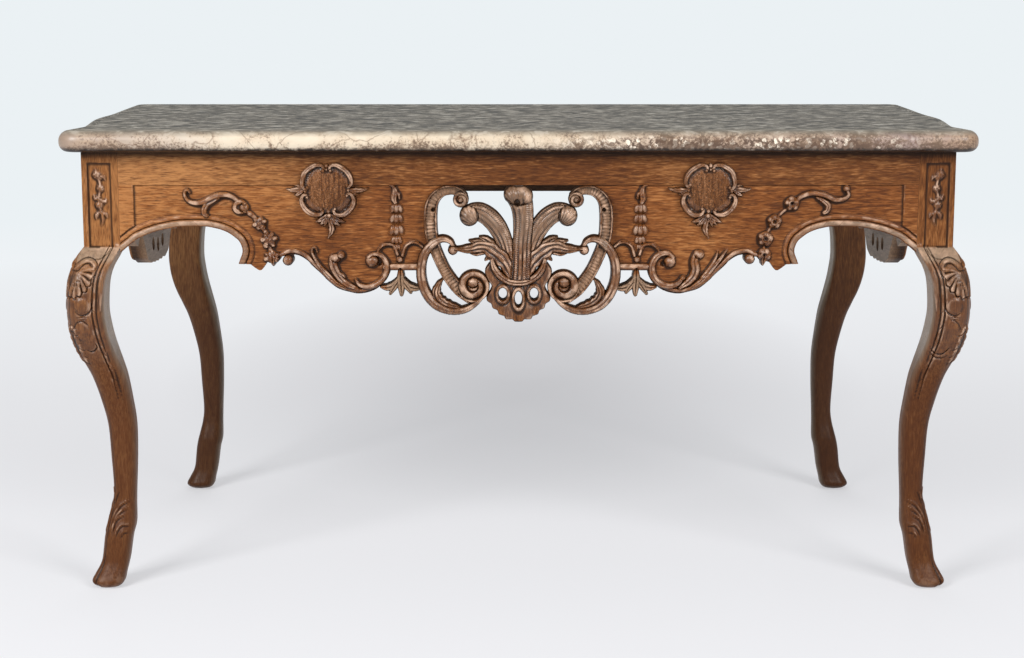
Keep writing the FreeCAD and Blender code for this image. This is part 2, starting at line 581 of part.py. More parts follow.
def ornament_half():
    # Scrolls, plume and acanthus of the right half; each is a carved band with a flat back.
    back = FRONT + CARVING_BACK
    wall = CARVING_WALL

    def band(points, halves, proud, crown, count=16):
        path = [(x, RAIL_BOTTOM + z) for x, z in points]
        return stroke(path, halves, back, wall + proud, crown, count)

    great = [(106, -11.5), (121, -10.5), (137, -17), (149, -29), (155.5, -45), (157.5, -65), (156.5, -87),
             (151, -109), (142, -131), (131, -153), (118, -173), (105, -188), (92, -199), (78, -200),
             (66, -193), (61.5, -180), (66, -167), (77, -161.5)]
    parts = [band(great, [9, 11, 12.5, 12.5, 12.5, 12.5, 12, 11.5, 12, 13, 14, 12, 9, 7], 1.0, CROWN, 30)]
    ring = [(113, -107), (125, -98), (139, -97), (154, -105), (166, -118), (173, -136), (174.5, -157),
            (171, -178), (163, -198), (150, -214), (133, -223.5), (113, -225.5), (96, -221.5), (82, -213)]
    parts.append(band(ring, [6, 7, 8, 9, 9, 9, 9, 9, 8.5, 8, 6.5, 5, 4], 5.0, CROWN - 3.0, 26))
    parts.append(button(103.5, RAIL_BOTTOM - 27.0, 14.0, back, FRONT - 10.0))
    parts.append(button(118.0, RAIL_BOTTOM - 116.0, 8.5, back, FRONT - 10.0))
    parts.append(button(82.0, RAIL_BOTTOM - 170.5, 10.0, back, FRONT - 13.0))
    frond = [(147, -215), (153, -196), (148, -182), (136, -174)]
    parts.append(band(frond, [6.0, 7.0, 6.0, 2.0], -2.0, 4.0, 8))
    plume = [(9, -164), (15, -130), (25, -95), (36, -75), (50, -58), (66, -48.5), (80, -48), (92, -54)]
    parts.append(band(plume, [7, 10, 13, 14, 15, 16, 15, 11], -1.0, CROWN, 18))
    parts.append(button(94.0, RAIL_BOTTOM - 61.0, 11.5, back, FRONT - 12.0))
    leaf = [(12, -158), (20, -137), (32, -121), (48, -111), (66, -108.5), (86, -111), (108, -112)]
    parts.append(band(leaf, [8.0, 9.0, 12.0, 13.0, 12.0, 9.0, 5.0], 3.0, CROWN - 1.0, 14))
    return parts


def shell():
    # Pierced shell under the plumes: scalloped lower edge, raised collar, three holes.
    y = FRONT + CARVING_BACK
    side = [(59, -154.5), (53, -176), (56, -200)]
    scallops = [(56, -200), (48.5, -215.5), (37, -228), (22, -237), (8, -242), (0, -242)]
    edges = [line(at(-48, -140, y), at(48, -140, y)), line(at(48, -140, y), at(59, -154.5, y))]
    edges.append(arc(*[at(a, b, y) for a, b in side]))
    right = []
    for (x0, z0), (x1, z1) in zip(scallops[:-2], scallops[1:-1]):
        middle = at((x0 + x1) / 2 + 2.5, (z0 + z1) / 2 - 3.0, y)
        right.append(arc(at(x0, z0, y), middle, at(x1, z1, y)))
    edges += right
    edges.append(arc(at(8, -242, y), at(0, -245.5, y), at(-8, -242, y)))
    edges += [mirrored(e) for e in right]
    edges.append(mirrored(edges[2]))
    edges.append(line(at(-59, -154.5, y), at(-48, -140, y)))
    body = prism(Part.__sortEdges__(edges), V(0, -CARVING_WALL - SHELL_PROUD, 0))
    holes = []
    for x, z, wide, high in ((-28, -196, 7.5, 10.0), (28, -196, 7.5, 10.0), (0, -205, 6.5, 12.5)):
        rim = Part.Ellipse(V(0, 0, 0), high, wide).toShape()
        hole = Part.Face(Part.Wire(rim)).extrude(V(0, 0, 60.0))
        hole.rotate(V(0, 0, 0), V(1, 0, 0), 90)
        hole.rotate(V(0, 0, 0), V(0, 1, 0), 90 + (12 if x > 0 else -12 if x < 0 else 0))
        hole.translate(at(x, z, y + 10.0))
        holes.append(hole)
    body = body.cut(holes)
    half_collar = [(0, -174.5), (15, -173), (30, -167), (44, -155), (54, -144)]
    collar = [(-a, b) for a, b in half_collar[:0:-1]] + half_collar
    rim = stroke([(a, RAIL_BOTTOM + b) for a, b in collar], [3.0, 6.5, 6.5, 6.5, 3.0], y,
                 CARVING_WALL + SHELL_PROUD + 2.0, 4.0, 14)
    return [body, rim]


def centre_ornament():
    half = ornament_half()
    parts = joined(half)
    back = FRONT + CARVING_BACK
    stem = stroke([(0, RAIL_BOTTOM - 172), (0, RAIL_BOTTOM - 90), (0, RAIL_BOTTOM)],
                  [14, 15, 17, 18, 19, 24, 26], back, CARVING_WALL + 2.0, CROWN, 12)
    roll = Part.makeCylinder(13.0, 50.0, V(-25.0, FRONT - 2.0, RAIL_BOTTOM - 17.0), V(1, 0, 0))
    roll = roll.makeFillet(6.0, [e for e in roll.Edges if e.Length < 100.0 and e.BoundBox.XLength < 0.01])
    whole = joined([parts, mirrored(parts), stem, roll] + shell())
    over = box(-200.0, 200.0, FRONT - 60.0, FRONT + 60.0, RAIL_BOTTOM, FRAME_TOP)
    return whole.cut([over, ornament_dowel(END_GAP)])


def side_apron():
    # Angled board on the right-hand side: two arches and a pierced shell drop between the posts.
    y0, y1 = FRONT_BACKFACE, BACK_FRONTFACE
    run = y1 - y0
    lean = BACK_INSET / run

    def place(s, z, mirror):
        y = y1 - s if mirror else y0 + s
        return V(OUT_FRONT - lean * (y - y0) - SIDE_THICK, y, RAIL_BOTTOM + z)

    middle = run / 2
    span = middle - DROP_HALF - DROP_STEP
    crown = -ARCH_CROWN
    foot = crown - 58.0
    edges = []
    for mirror in (False, True):
        def p(s, z, mirror=mirror):
            return place(s, z, mirror)
        edges.append(arc(p(0, -ARCH_SPRING), p(0.26 * span, crown - 16.0), p(0.62 * span, crown)))
        edges.append(arc(p(0.62 * span, crown), p(0.88 * span, crown - 12.0), p(span, crown - 34.0)))
        edges.append(arc(p(span, crown - 34.0), p(1.006 * span, crown - 46.0), p(0.965 * span, foot)))
        edges.append(line(p(0.965 * span, foot), p(middle - DROP_HALF, foot - 10.0)))
        edges.append(line(p(middle - DROP_HALF, foot - 10.0), p(middle - 0.9 * DROP_HALF, foot + 7.0)))
        drop = [(0.9, foot + 7.0), (0.77, foot + 4.0), (0.65, foot - 19.0), (0.55, foot - 41.0),
                (0.44, foot - 50.0)]
        edges.append(curve([p(middle - s * DROP_HALF, z) for s, z in drop]).toShape())
        scallops = [(0.44, foot - 50.0), (0.25, foot - 52.0), (0.08, foot - 53.0)]
        for (s0, z0), (s1, z1) in zip(scallops[:-1], scallops[1:]):
            dip = p(middle - (s0 + s1) / 2 * DROP_HALF, z1 - 4.0)
            edges.append(arc(p(middle - s0 * DROP_HALF, z0), dip, p(middle - s1 * DROP_HALF, z1)))
    tip = middle - 0.08 * DROP_HALF
    edges.append(arc(place(tip, foot - 53.0, False), place(middle, foot - 57.0, False),
                     place(tip, foot - 53.0, True)))
    edges.append(line(place(0, -ARCH_SPRING, False), place(0, RAIL_HEIGHT, False)))
    edges.append(line(place(0, RAIL_HEIGHT, False), place(0, RAIL_HEIGHT, True)))
    edges.append(line(place(0, RAIL_HEIGHT, True), place(0, -ARCH_SPRING, True)))
    board = prism(Part.__sortEdges__(edges), V(SIDE_THICK, 0, 0))
    holes = []
    for s, z, wide, high in ((-0.24, -19.0, 9.0, 13.0), (0.24, -19.0, 9.0, 13.0), (0.0, -24.0, 8.0, 14.0)):
        rim = Part.Ellipse(V(0, 0, 0), high, wide).toShape()
        hole = Part.Face(Part.Wire(rim)).extrude(V(0, 0, 3 * SIDE_THICK))
        hole.rotate(V(0, 0, 0), V(0, 1, 0), 90)
        hole.translate(place(middle + s * DROP_HALF, foot + z, False) + V(-SIDE_THICK, 0, 0))
        holes.append(hole)
    board = board.cut(holes)
    tenons = [along_y_tenon(y0, OUT_FRONT, -1, 0), along_y_tenon(y1, OUT_BACK, 1, 0)]
    board = board.fuse(tenons).removeSplitter()
    pegs = x_pegs(y0, OUT_FRONT, -1, 0) + x_pegs(y1, OUT_BACK, 1, 0)
    return board.cut(pegs)


def back_rail():
    low = FRAME_TOP - BACK_RAIL_HEIGHT
    rail = box(-IN_BACK, IN_BACK, BACK - BACK_RAIL_THICK, BACK, low, FRAME_TOP)
    tenon = along_x_tenon(IN_BACK, BACK, -1, BACK_TENON, 0)
    rail = rail.fuse([tenon, mirrored(tenon)])
    cuts = bearer_lugs() + y_pegs(IN_BACK, BACK, -1, BACK_TENON, BACK_PEGS, 0)
    return rail.cut(cuts + [mirrored(c) for c in cuts])


os.makedirs("parts", exist_ok=True)
top_slab().exportStep("parts/marble_top.step")
rail = front_rail()
rail.exportStep("parts/front_rail.step")
back_rail().exportStep("parts/back_rail.step")
ornament = centre_ornament()
ornament.exportStep("parts/front_centre_ornament.step")
ornament_dowel(0).exportStep("parts/ornament_dowel.step")
pairs = {
    "front_{}_leg": front_leg(),
    "back_{}_leg": back_leg(),
    "front_apron_{}": front_apron(ornament),
    "front_tongue_{}": tongue(0),
    "cartouche_{}": cartouche(rail),
    "side_apron_{}": side_apron(),
    "bearer_{}": bearer(),
    "front_pegs_{}": Part.makeCompound(front_pegs(0)),
    "back_pegs_{}": Part.makeCompound(back_pegs(0)),
}
for name, shape in pairs.items():
    shape.exportStep("parts/" + name.format("right") + ".step")
    mirrored(shape).exportStep("parts/" + name.format("left") + ".step")
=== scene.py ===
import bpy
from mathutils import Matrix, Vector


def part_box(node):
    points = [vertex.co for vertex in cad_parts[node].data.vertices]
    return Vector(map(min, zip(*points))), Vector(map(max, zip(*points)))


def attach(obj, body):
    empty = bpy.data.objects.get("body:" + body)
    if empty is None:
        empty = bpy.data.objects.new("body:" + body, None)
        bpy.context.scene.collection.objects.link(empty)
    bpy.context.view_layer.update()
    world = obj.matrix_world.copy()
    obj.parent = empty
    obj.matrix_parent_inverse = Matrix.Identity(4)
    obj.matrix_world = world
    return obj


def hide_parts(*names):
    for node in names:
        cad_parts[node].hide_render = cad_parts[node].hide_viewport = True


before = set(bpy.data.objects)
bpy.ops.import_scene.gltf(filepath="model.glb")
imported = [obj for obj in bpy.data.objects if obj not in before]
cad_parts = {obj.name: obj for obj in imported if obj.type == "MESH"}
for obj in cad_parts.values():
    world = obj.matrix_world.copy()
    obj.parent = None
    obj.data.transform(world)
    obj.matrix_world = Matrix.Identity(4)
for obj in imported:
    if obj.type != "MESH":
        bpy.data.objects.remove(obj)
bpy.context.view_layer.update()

import copy
import math

import bmesh
import bpy
import numpy as np

# Legs: four cabriole legs, each cut and carved from one stick of oak, from the square post
# that takes the rails' tenons down to a cloven hoof. The front pair is carved on both outer
# faces; the back pair is plainer and flat behind, to stand close to a wall.

MM = 0.001


def linear(colour):
    """Linear RGBA of an sRGB hex colour."""
    parts = [int(colour[i:i + 2], 16) / 255 for i in (1, 3, 5)]
    return [c / 12.92 if c <= 0.04045 else ((c + 0.055) / 1.055) ** 2.4 for c in parts] + [1.0]


def add(tree, kind, inputs=None, stops=(), **settings):
    """A new node with its settings; each input takes a value or a link, and stops fill a ramp."""
    made = tree.nodes.new(kind)
    for name, value in settings.items():
        setattr(made, name, value)
    for socket, value in (inputs or {}).items():
        if isinstance(value, bpy.types.NodeSocket):
            tree.links.new(value, made.inputs[socket])
        else:
            made.inputs[socket].default_value = value
    if stops:
        ramp = made.color_ramp.elements
        ramp[0].position, ramp[1].position = stops[0][0], stops[-1][0]
        for position, colour in stops[1:-1]:
            ramp.new(position)
        for element, (position, colour) in zip(ramp, stops):
            element.color = colour
    return made


def oak(name, along, deep, middle, pale, foot=None, figure=1.0, lit_left_end=0.1, darkening=None):
    """Waxed old oak: bands of slow and fast growth, dark pores along the grain, dirt and painted
    shade in the hollows of the carving, rubbed paler ridges with a painted highlight, grey bare
    wood where no wax was laid, the left end painted paler as light, and a painted shadow under the
    slab."""
    band, streak, pore, patch, rub = 9 * MM, 2.4 * MM, 1.3 * MM, 150 * MM, 16 * MM
    material = bpy.data.materials.new(name)
    material.use_nodes = True
    tree = material.node_tree
    shader = tree.nodes["Principled BSDF"]
    place = add(tree, "ShaderNodeTexCoord").outputs["Object"]
    spot = add(tree, "ShaderNodeSeparateXYZ", {0: place}).outputs
    cut, bare, depth = (add(tree, "ShaderNodeAttribute", attribute_name=word).outputs["Fac"]
                        for word in ("carved", "bare", "recess"))
    # Figure of the wood, drawn out along the grain: width across, and how much longer it runs.
    drawn = []
    for size, length, detail, roughness, swirl in (
            (band, 6, 3.0, 0.5, 1.8), (streak, 9, 3.0, 0.6, 0.5), (pore, 14, 2.0, 0.5, 0.0)):
        stretch = [1 / length if axis == along else 1.0 for axis in "XYZ"]
        run = add(tree, "ShaderNodeMapping", {"Vector": place, "Scale": stretch}).outputs[0]
        drawn.append(add(tree, "ShaderNodeTexNoise", {
            "Vector": run, "Scale": 1 / size, "Detail": detail, "Roughness": roughness,
            "Distortion": swirl}).outputs["Fac"])
    rings, streaks, pores = drawn
    cloud, wear = (add(tree, "ShaderNodeTexNoise", {
        "Vector": place, "Scale": 1 / size, "Detail": 3.0}).outputs["Fac"] for size in (patch, rub))
    mixed = add(tree, "ShaderNodeMix", {0: 0.6, 2: rings, 3: streaks}, data_type="FLOAT").outputs[0]
    # Shares: what each one reads, from where to where, and what it gives at both ends.
    ranges = [("figure", mixed, 0.0, 1.0, 0.5 - figure / 2, 0.5 + figure / 2),
              ("drift", cloud, 0.3, 0.7, -0.05, 0.05),
              ("pores", pores, 0.56, 0.68, 0.0, 0.6),
              ("dusty", wear, 0.42, 0.58, 0.2, 0.65),
              # Hollows take dirt and painted shade; ridges are rubbed paler and carry a painted
              # highlight.
              ("hollow", depth, -0.1, -0.75, 0.0, 0.88),
              ("ridge", depth, 0.15, 0.9, 0.0, 1.0),
              ("rubbed", wear, 0.44, 0.62, 0.08, 0.95),
              ("gloss", mixed, 0.3, 0.7, 0.5, 0.36),
              ("polish", cut, 0.0, 1.0, 0.2, 0.42),
              # The left end of the table is painted paler, as light falling from the left.
              ("lit_left", spot["X"], -0.28, -0.7, 0.0, lit_left_end)]
    if foot:
        ranges.append(("foot", spot["Z"], 0.6, 0.36, 0.0, 0.72))
    # Painted shadow: a near-black band at the top of the wood, just under the slab's edge.
    if darkening:
        ranges.append(("darkening", spot["Z"], (darkening - 13) * MM, (darkening - 4) * MM, 0.0, 0.85))
    share = {}
    for word, value, low, high, least, most in ranges:
        share[word] = add(tree, "ShaderNodeMapRange", {
            "Value": value, 1: low, 2: high, 3: least, 4: most}).outputs[0]
    shade = share["figure"]
    for more in (share["lit_left"], share["drift"]):
        shade = add(tree, "ShaderNodeMath", {0: shade, 1: more}, operation="ADD").outputs[0]
    colour = add(tree, "ShaderNodeValToRGB", {"Fac": shade}, stops=(
        (0.39, linear(deep)), (0.51, linear(middle)), (0.66, linear(pale)))).outputs["Color"]
    dusty, ridge = (add(tree, "ShaderNodeMath", {0: one, 1: two}, operation="MULTIPLY").outputs[0]
                    for one, two in ((cut, share["dusty"]), (share["ridge"], share["rubbed"])))
    grey = add(tree, "ShaderNodeMix", {0: rings, 6: linear("#6b5a49"), 7: linear("#a8957f")},
               data_type="RGBA").outputs[2]
    # Coats, each over the one before: pores, foot, dust, bare wood, dirt and painted shade in the
    # hollows, rubbed ridges with a painted highlight, and the painted shadow under the slab.
    coats = [(share["pores"], linear("#2c170a")), (dusty, linear("#42281a")), (bare, grey),
             (share["hollow"], linear("#1f0f06")), (ridge, linear("#c09c82"))]
    if foot:
        coats.insert(1, (share["foot"], linear(foot)))
    # The painted shadow under the slab, laid over all the other coats.
    if darkening:
        coats.append((share["darkening"], linear("#150a04")))
    for much, over in coats:
        colour = add(tree, "ShaderNodeMix", {0: much, 6: colour, 7: over},
                     data_type="RGBA").outputs[2]
    waxed = add(tree, "ShaderNodeMath", {0: cut, 1: 0.15}, operation="MULTIPLY").outputs[0]
    gloss = add(tree, "ShaderNodeMath", {0: share["gloss"], 1: waxed},
                operation="SUBTRACT").outputs[0]
    rough = add(tree, "ShaderNodeMath", {0: mixed, 1: share["pores"]},
                operation="SUBTRACT").outputs[0]
    bump = add(tree, "ShaderNodeBump", {
        "Strength": 0.35, "Distance": 0.6 * MM, "Height": rough}).outputs[0]
    for socket, value in (("Base Color", colour), ("Roughness", gloss),
                          ("Specular IOR Level", share["polish"]), ("Normal", bump)):
        tree.links.new(value, shader.inputs[socket])
    return material


def smooth_path(points, step=1.0):
    """Even samples along a smooth curve through the points, and the distance run at each."""
    p = np.array(points, float)
    p = np.vstack([2 * p[0] - p[1], p, 2 * p[-1] - p[-2]])
    t = np.linspace(0, 1, 16, endpoint=False)[:, None]
    spans = []
    for a, b, c, d in zip(p[:-3], p[1:-2], p[2:-1], p[3:]):
        spans.append(b + 0.5 * ((c - a) * t + (2 * a - 5 * b + 4 * c - d) * t ** 2
                                + (3 * b - a - 3 * c + d) * t ** 3))
    line = np.vstack(spans + [p[-2:-1]])
    run = np.concatenate([[0], np.cumsum(np.hypot(*np.diff(line, axis=0).T))])
    even = np.linspace(0, run[-1], max(int(run[-1] / step), 4) + 1)
    return np.column_stack([np.interp(even, run, line[:, k]) for k in (0, 1)]), even


def rise(value, over):
    """Smooth step from 0 to 1 as value goes from 0 to over."""
    t = np.clip(value / over, 0, 1)
    return t * t * (3 - 2 * t)


class Relief:
    """Carving on a sheet, in millimetres: the height in front of the sheet's face, the distance
    inside the sawn outline, and how rubbed the wood is, with some painted highlight, all on an even
    grid of x and z."""

    def __init__(self, x0, x1, z0, z1, step):
        self.x = np.arange(x0, x1 + step / 2, step)
        self.z = np.arange(z0, z1 + step / 2, step)
        self.step = step
        self.height = np.zeros((len(self.z), len(self.x)))
        self.inside = np.full(self.height.shape, -99.0)
        self.rubbed = np.zeros(self.height.shape)

    def grid(self):
        """x and z of every cell."""
        return np.meshgrid(self.x, self.z)

    def trace(self, path, reach):
        """Distance of each cell to a path, and the nearest sample's number."""
        best = np.full(self.height.shape, np.inf)
        nearest = np.zeros(self.height.shape, int)
        for first in range(0, len(path), 24):
            part = path[first:first + 25]
            i0, i1 = np.searchsorted(self.x, [part[:, 0].min() - reach, part[:, 0].max() + reach])
            j0, j1 = np.searchsorted(self.z, [part[:, 1].min() - reach, part[:, 1].max() + reach])
            if i0 == i1 or j0 == j1:
                continue
            across = (self.x[None, i0:i1, None] - part[:, 0]) ** 2
            gap = across + (self.z[j0:j1, None, None] - part[:, 1]) ** 2
            pick = gap.argmin(2)
            gap = np.take_along_axis(gap, pick[..., None], 2)[..., 0]
            closer = gap < best[j0:j1, i0:i1]
            best[j0:j1, i0:i1][closer] = gap[closer]
            nearest[j0:j1, i0:i1][closer] = (pick + first)[closer]
        return np.sqrt(best), nearest

    def stroke(self, points, halves, section, base=0.0, edge=1.6, way="raise", solid=False,
               lobes=None):
        """A carved band along a smooth path. section(u, v, s) is its height at u mm across, v as
        a share of the half width, and s mm along; lobes = (spacing, share) nicks its edges."""
        path, run = smooth_path(points, 0.7 * self.step)
        half = np.interp(run / run[-1], np.linspace(0, 1, len(halves)), halves)
        if lobes:
            half = half * (1 - lobes[1] * (0.5 + 0.5 * np.cos(2 * np.pi * run / lobes[0])))
        along = np.gradient(path, axis=0)
        along /= np.hypot(*along.T)[:, None]
        distance, k = self.trace(path, half.max() + edge)
        near = distance < half[k] + edge
        k = k[near]
        xx, zz = self.grid()
        ox, oz = xx[near] - path[k, 0], zz[near] - path[k, 1]
        u = along[k, 0] * oz - along[k, 1] * ox
        s = run[k] + along[k, 0] * ox + along[k, 1] * oz
        inside = half[k] - distance[near]
        v = np.clip(u / half[k], -1, 1)
        self.put(near, base + section(u, v, s), inside, edge, way, solid)

    def put(self, near, height, inside, edge, way, solid):
        """Lays heights on some cells: raised over, laid in place of, or cut into what is there."""
        soft = rise(inside, edge)
        old = self.height[near]
        if way == "raise":
            new = np.where(inside > 0, np.maximum(old, old + (height - old) * soft), old)
        elif way == "lay":
            new = old + (height - old) * soft
        else:
            new = old + height * soft
        self.height[near] = new
        if solid:
            self.inside[near] = np.maximum(self.inside[near], inside)

    def boss(self, x, z, radius, proud, base=0.0, petals=0, turn=0.0, tall=1.0, way="raise",
             solid=False, fan=None):
        """A round boss: a ball, or a flower of several petals about a small button. fan = (x, z,
        count, deep) cuts grooves that spread from a point."""
        xx, zz = self.grid()
        ox, oz = xx - x, (zz - z) / tall
        distance = np.hypot(ox, oz)
        near = distance < radius + 2
        r, angle = distance[near], np.arctan2(oz[near], ox[near]) + turn
        lobe = np.abs(np.cos(petals * angle / 2)) if petals else 1.0
        rim = radius * (0.78 + 0.22 * lobe)
        t = np.clip(r / rim, 0, 1)
        height = proud * np.sqrt(1 - 0.96 * t * t)
        if petals:
            wrap = np.abs(np.cos(0.5 * petals * angle + 4.0 * t)) ** 5 * rise(t - 0.22, 0.3)
            height = proud * np.sqrt(1 - 0.85 * t * t) - 0.34 * proud * wrap
            height = height - 0.3 * proud * np.exp(-(t / 0.16) ** 2)
        if fan:
            spread = np.arctan2(zz[near] - fan[1], xx[near] - fan[0])
            height = height - fan[3] * np.abs(np.cos(fan[2] * spread)) ** 3 * t
        self.put(near, base + height, rim - r, 1.4, way, solid)

    def snail(self, x, z, radius, pitch, proud, deep, hand=1, turn=0.0):
        """A scroll's end: a solid disc wound with a spiral ridge about a ball."""
        xx, zz = self.grid()
        ox, oz = xx - x, zz - z
        distance = np.hypot(ox, oz)
        near = distance < radius + 2
        r = distance[near]
        phase = r / pitch + hand * np.arctan2(oz[near], ox[near]) / (2 * np.pi) + turn
        wound = np.abs(np.sin(np.pi * phase)) ** 0.7
        self.put(near, proud - deep * (1 - wound), radius - r, 1.6, "lay", True)
        self.boss(x, z, 0.62 * pitch, proud + 2.0, way="lay")

    def board(self, outline):
        """The sawn sheet itself, inside a closed outline of close points."""
        loop = np.array(outline)
        ahead = np.roll(loop, -1, axis=0)
        inner = np.zeros(self.height.shape, bool)
        for j, z in enumerate(self.z):
            crosses = (loop[:, 1] <= z) != (ahead[:, 1] <= z)
            a, b = loop[crosses], ahead[crosses]
            at = np.sort(a[:, 0] + (z - a[:, 1]) / (b[:, 1] - a[:, 1]) * (b[:, 0] - a[:, 0]))
            inner[j] = np.searchsorted(at, self.x) % 2 == 1
        reach = 12.0
        distance = np.minimum(self.trace(loop, reach)[0], reach)
        self.inside = np.maximum(self.inside, np.where(inner, distance, -distance))

    def recess(self):
        """How far each cell stands above or below the wood about it, from -1 to 1."""
        reach, full = 3.6, 1.7
        wood = (self.inside > 0).astype(float)
        if not wood.any():
            wood += 1.0
        width = max(int(reach / self.step), 1)
        sums = []
        for even in (self.height * wood, wood):
            for axis in (0, 1, 0, 1):
                pad = [(width, width) if axis == k else (0, 0) for k in (0, 1)]
                total = np.cumsum(np.pad(even, pad, mode="edge"), axis=axis)
                lead = np.take(total, range(2 * width, total.shape[axis]), axis=axis)
                lag = np.take(total, range(0, total.shape[axis] - 2 * width), axis=axis)
                even = (lead - lag) / (2 * width)
            sums.append(even)
        return np.clip((self.height - sums[0] / np.maximum(sums[1], 1e-6)) / full, -1, 1)

    def at(self, x, z, values):
        """Values of a grid at any places, read between its cells."""
        i = np.clip((x - self.x[0]) / self.step, 0, len(self.x) - 1.001)
        j = np.clip((z - self.z[0]) / self.step, 0, len(self.z) - 1.001)
        i0, j0 = i.astype(int), j.astype(int)
        fi, fj = i - i0, j - j0
        low = values[j0, i0] * (1 - fi) + values[j0, i0 + 1] * fi
        high = values[j0 + 1, i0] * (1 - fi) + values[j0 + 1, i0 + 1] * fi
        return low * (1 - fj) + high * fj


def rounded(proud):
    """A half-round band."""
    return lambda u, v, s: proud * (1 - v ** 2) ** 0.5


def leaf(proud):
    """A leaf with a sunk midrib, slanting veins and thinner edges."""
    vein, deep = 5.0, 0.9

    def section(u, v, s):
        side = np.abs(v)
        veins = np.cos(2 * np.pi * (s / vein - 0.9 * side)) ** 2
        swell = 0.62 + 0.5 * np.sin(np.pi * np.clip(side * 1.05, 0, 1))
        return proud * swell - deep * veins * side
    return section


def incised(deep):
    """A cut with a hollow floor."""
    return lambda u, v, s: -deep * (1 - v * v)


def piece(name, points, faces, material, body, slot, node, **shades):
    mesh = bpy.data.meshes.new(name)
    mesh.from_pydata((np.asarray(points) * MM).tolist(), [], faces)
    for key, values in shades.items():
        shade = mesh.attributes.new(key, "FLOAT", "POINT")
        shade.data.foreach_set("value", np.asarray(values, np.float32))
    work = bmesh.new()
    work.from_mesh(mesh)
    rim = [e for e in work.edges if e.is_boundary]
    if rim:
        bmesh.ops.triangle_fill(work, use_beauty=True, edges=rim)
    bmesh.ops.recalc_face_normals(work, faces=work.faces)
    for face in work.faces:
        face.smooth = True
    work.to_mesh(mesh)
    work.free()
    mesh.set_sharp_from_angle(angle=math.radians(58))
    mesh.materials.append(material)
    made = bpy.data.objects.new(name, mesh)
    bpy.context.scene.collection.objects.link(made)
    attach(made, body)
    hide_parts(node)
    return made


leg_high = np.array(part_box("front_right_leg")[1]) / MM
rail_low = np.array(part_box("front_rail")[0]) / MM
back_high = np.array(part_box("back_right_leg")[1]) / MM
post = 65.0
frame_top = leg_high[2]
front_face = rail_low[1]
knee_line = frame_top - 170.0
knee_swell = 33.0
front_outer = leg_high[0] - knee_swell
back_outer = back_high[0] - knee_swell
back_face = back_high[1]
# Outline of a leg: height, outer edge and inner edge, measured in from the post's outer face.
leg_outline = [(632, 0, 65), (610, -16, 55), (590, -24, 45.5), (565, -30, 39.5), (520, -33, 37),
               (490, -31, 40), (465, -26, 44.5), (440, -18, 51), (415, -7, 58), (390, 3, 64),
               (350, 14, 69.5), (300, 24, 74.5), (240, 27.5, 74), (180, 30, 71), (150, 27, 70),
               (125, 21, 70), (110, 17, 69), (90, 13, 64), (55, 9, 59), (40, 5, 56), (25, -3, 52.5),
               (12, -9, 50), (0, -4, 45)]

leg_carving = Relief(-45, 82, 0, frame_top, 1.0)
leg_x, leg_z = leg_carving.grid()
panel = np.minimum(np.minimum(leg_x - 11, 0.35 * (54 - leg_x)),
                   np.minimum(leg_z - 631, 781 - leg_z))
panel_deep = 2.6
leg_carving.height -= panel_deep * rise(panel, 1.2)
for x, z, r in ((27, 760, 8.5), (33, 736, 8), (30, 706, 8)):
    leg_carving.boss(x, z, r, 5.5, base=-panel_deep, petals=5, turn=x)
vine = [(25, 771), (29, 760), (32, 747), (33, 736), (30, 722), (30, 706), (34, 691), (36, 680),
        (33, 670)]
leg_carving.stroke(vine, [1.5, 3, 3, 3, 2.5, 3, 3, 3.5, 1.5], rounded(3.6), base=-panel_deep)
for points in ([(30, 752), (38, 757), (42, 751)], [(31, 722), (24, 718), (21, 724)],
               [(32, 716), (40, 712), (43, 717)], [(33, 693), (41, 690), (44, 684)],
               [(31, 694), (25, 688), (24, 681)]):
    leg_carving.stroke(points, [2.5, 4, 1.5], leaf(4.0), base=-panel_deep)
# Twin reeds that carry the arch's moulding down the inner edge of the leg.
for inset, deep in ((12.5, 2.4), (20.0, 2.8)):
    edge_line = [(inner - inset, z) for z, outer, inner in leg_outline[0:11]]
    leg_carving.stroke(edge_line, [1.6, 2.0, 2.2, 2.2, 2.0, 1.4, 0.6], incised(deep), way="cut",
                       edge=0.8)
leg_carving.stroke([(inner - 5.6, z) for z, outer, inner in leg_outline[0:5]], [6, 6, 5.5, 4, 1.5],
                   rounded(2.4), edge=1.2)
for z, outer, inner in leg_outline[4:10]:
    leg_carving.stroke([(inner - 20, z + 4), (inner - 13, z - 4)], [0.6, 1.1, 0.6], incised(1.6),
                       way="cut", edge=0.6)
# Knee: a C-scroll over a ribbed shell that opens downward, then a round boss and a tie under it.
hinge = (-9.0, 588.0)
shell_tips = [(-24, 549), (-15, 546), (-5, 551), (5, 558), (11, 568), (16, 581), (19, 594)]
for tip in shell_tips:
    mid = (0.5 * (hinge[0] + tip[0]) + 1.5, 0.5 * (hinge[1] + tip[1]) + 2.0)
    leg_carving.stroke([hinge, mid, tip], [1.4, 3.4, 4.6], rounded(2.0), edge=1.6)
for one, two in zip(shell_tips, shell_tips[1:]):
    between = (0.5 * (one[0] + two[0]), 0.5 * (one[1] + two[1]))
    start = (0.6 * hinge[0] + 0.4 * between[0] + 1.2, 0.6 * hinge[1] + 0.4 * between[1] + 1.6)
    leg_carving.stroke([start, between], [0.6, 1.2, 1.4], incised(2.6), way="cut", edge=0.7)
scallops = [(-30, 545), (-24, 543), (-19, 546), (-14, 541), (-9, 547), (-3, 546), (1, 554),
            (8, 555), (10, 563), (16, 567), (17, 577), (22, 583)]
leg_carving.stroke(scallops, [1.2, 1.7, 1.7, 1.7, 1.0], incised(2.8), way="cut", edge=0.8)
scroll = [(-14, 594), (-6, 600), (2, 606), (10, 609), (18, 606), (22, 599), (19, 594)]
leg_carving.stroke(scroll, [1.5, 3.2, 3.8, 3.6, 3.2, 2.8, 1.4], rounded(2.2), edge=1.6)
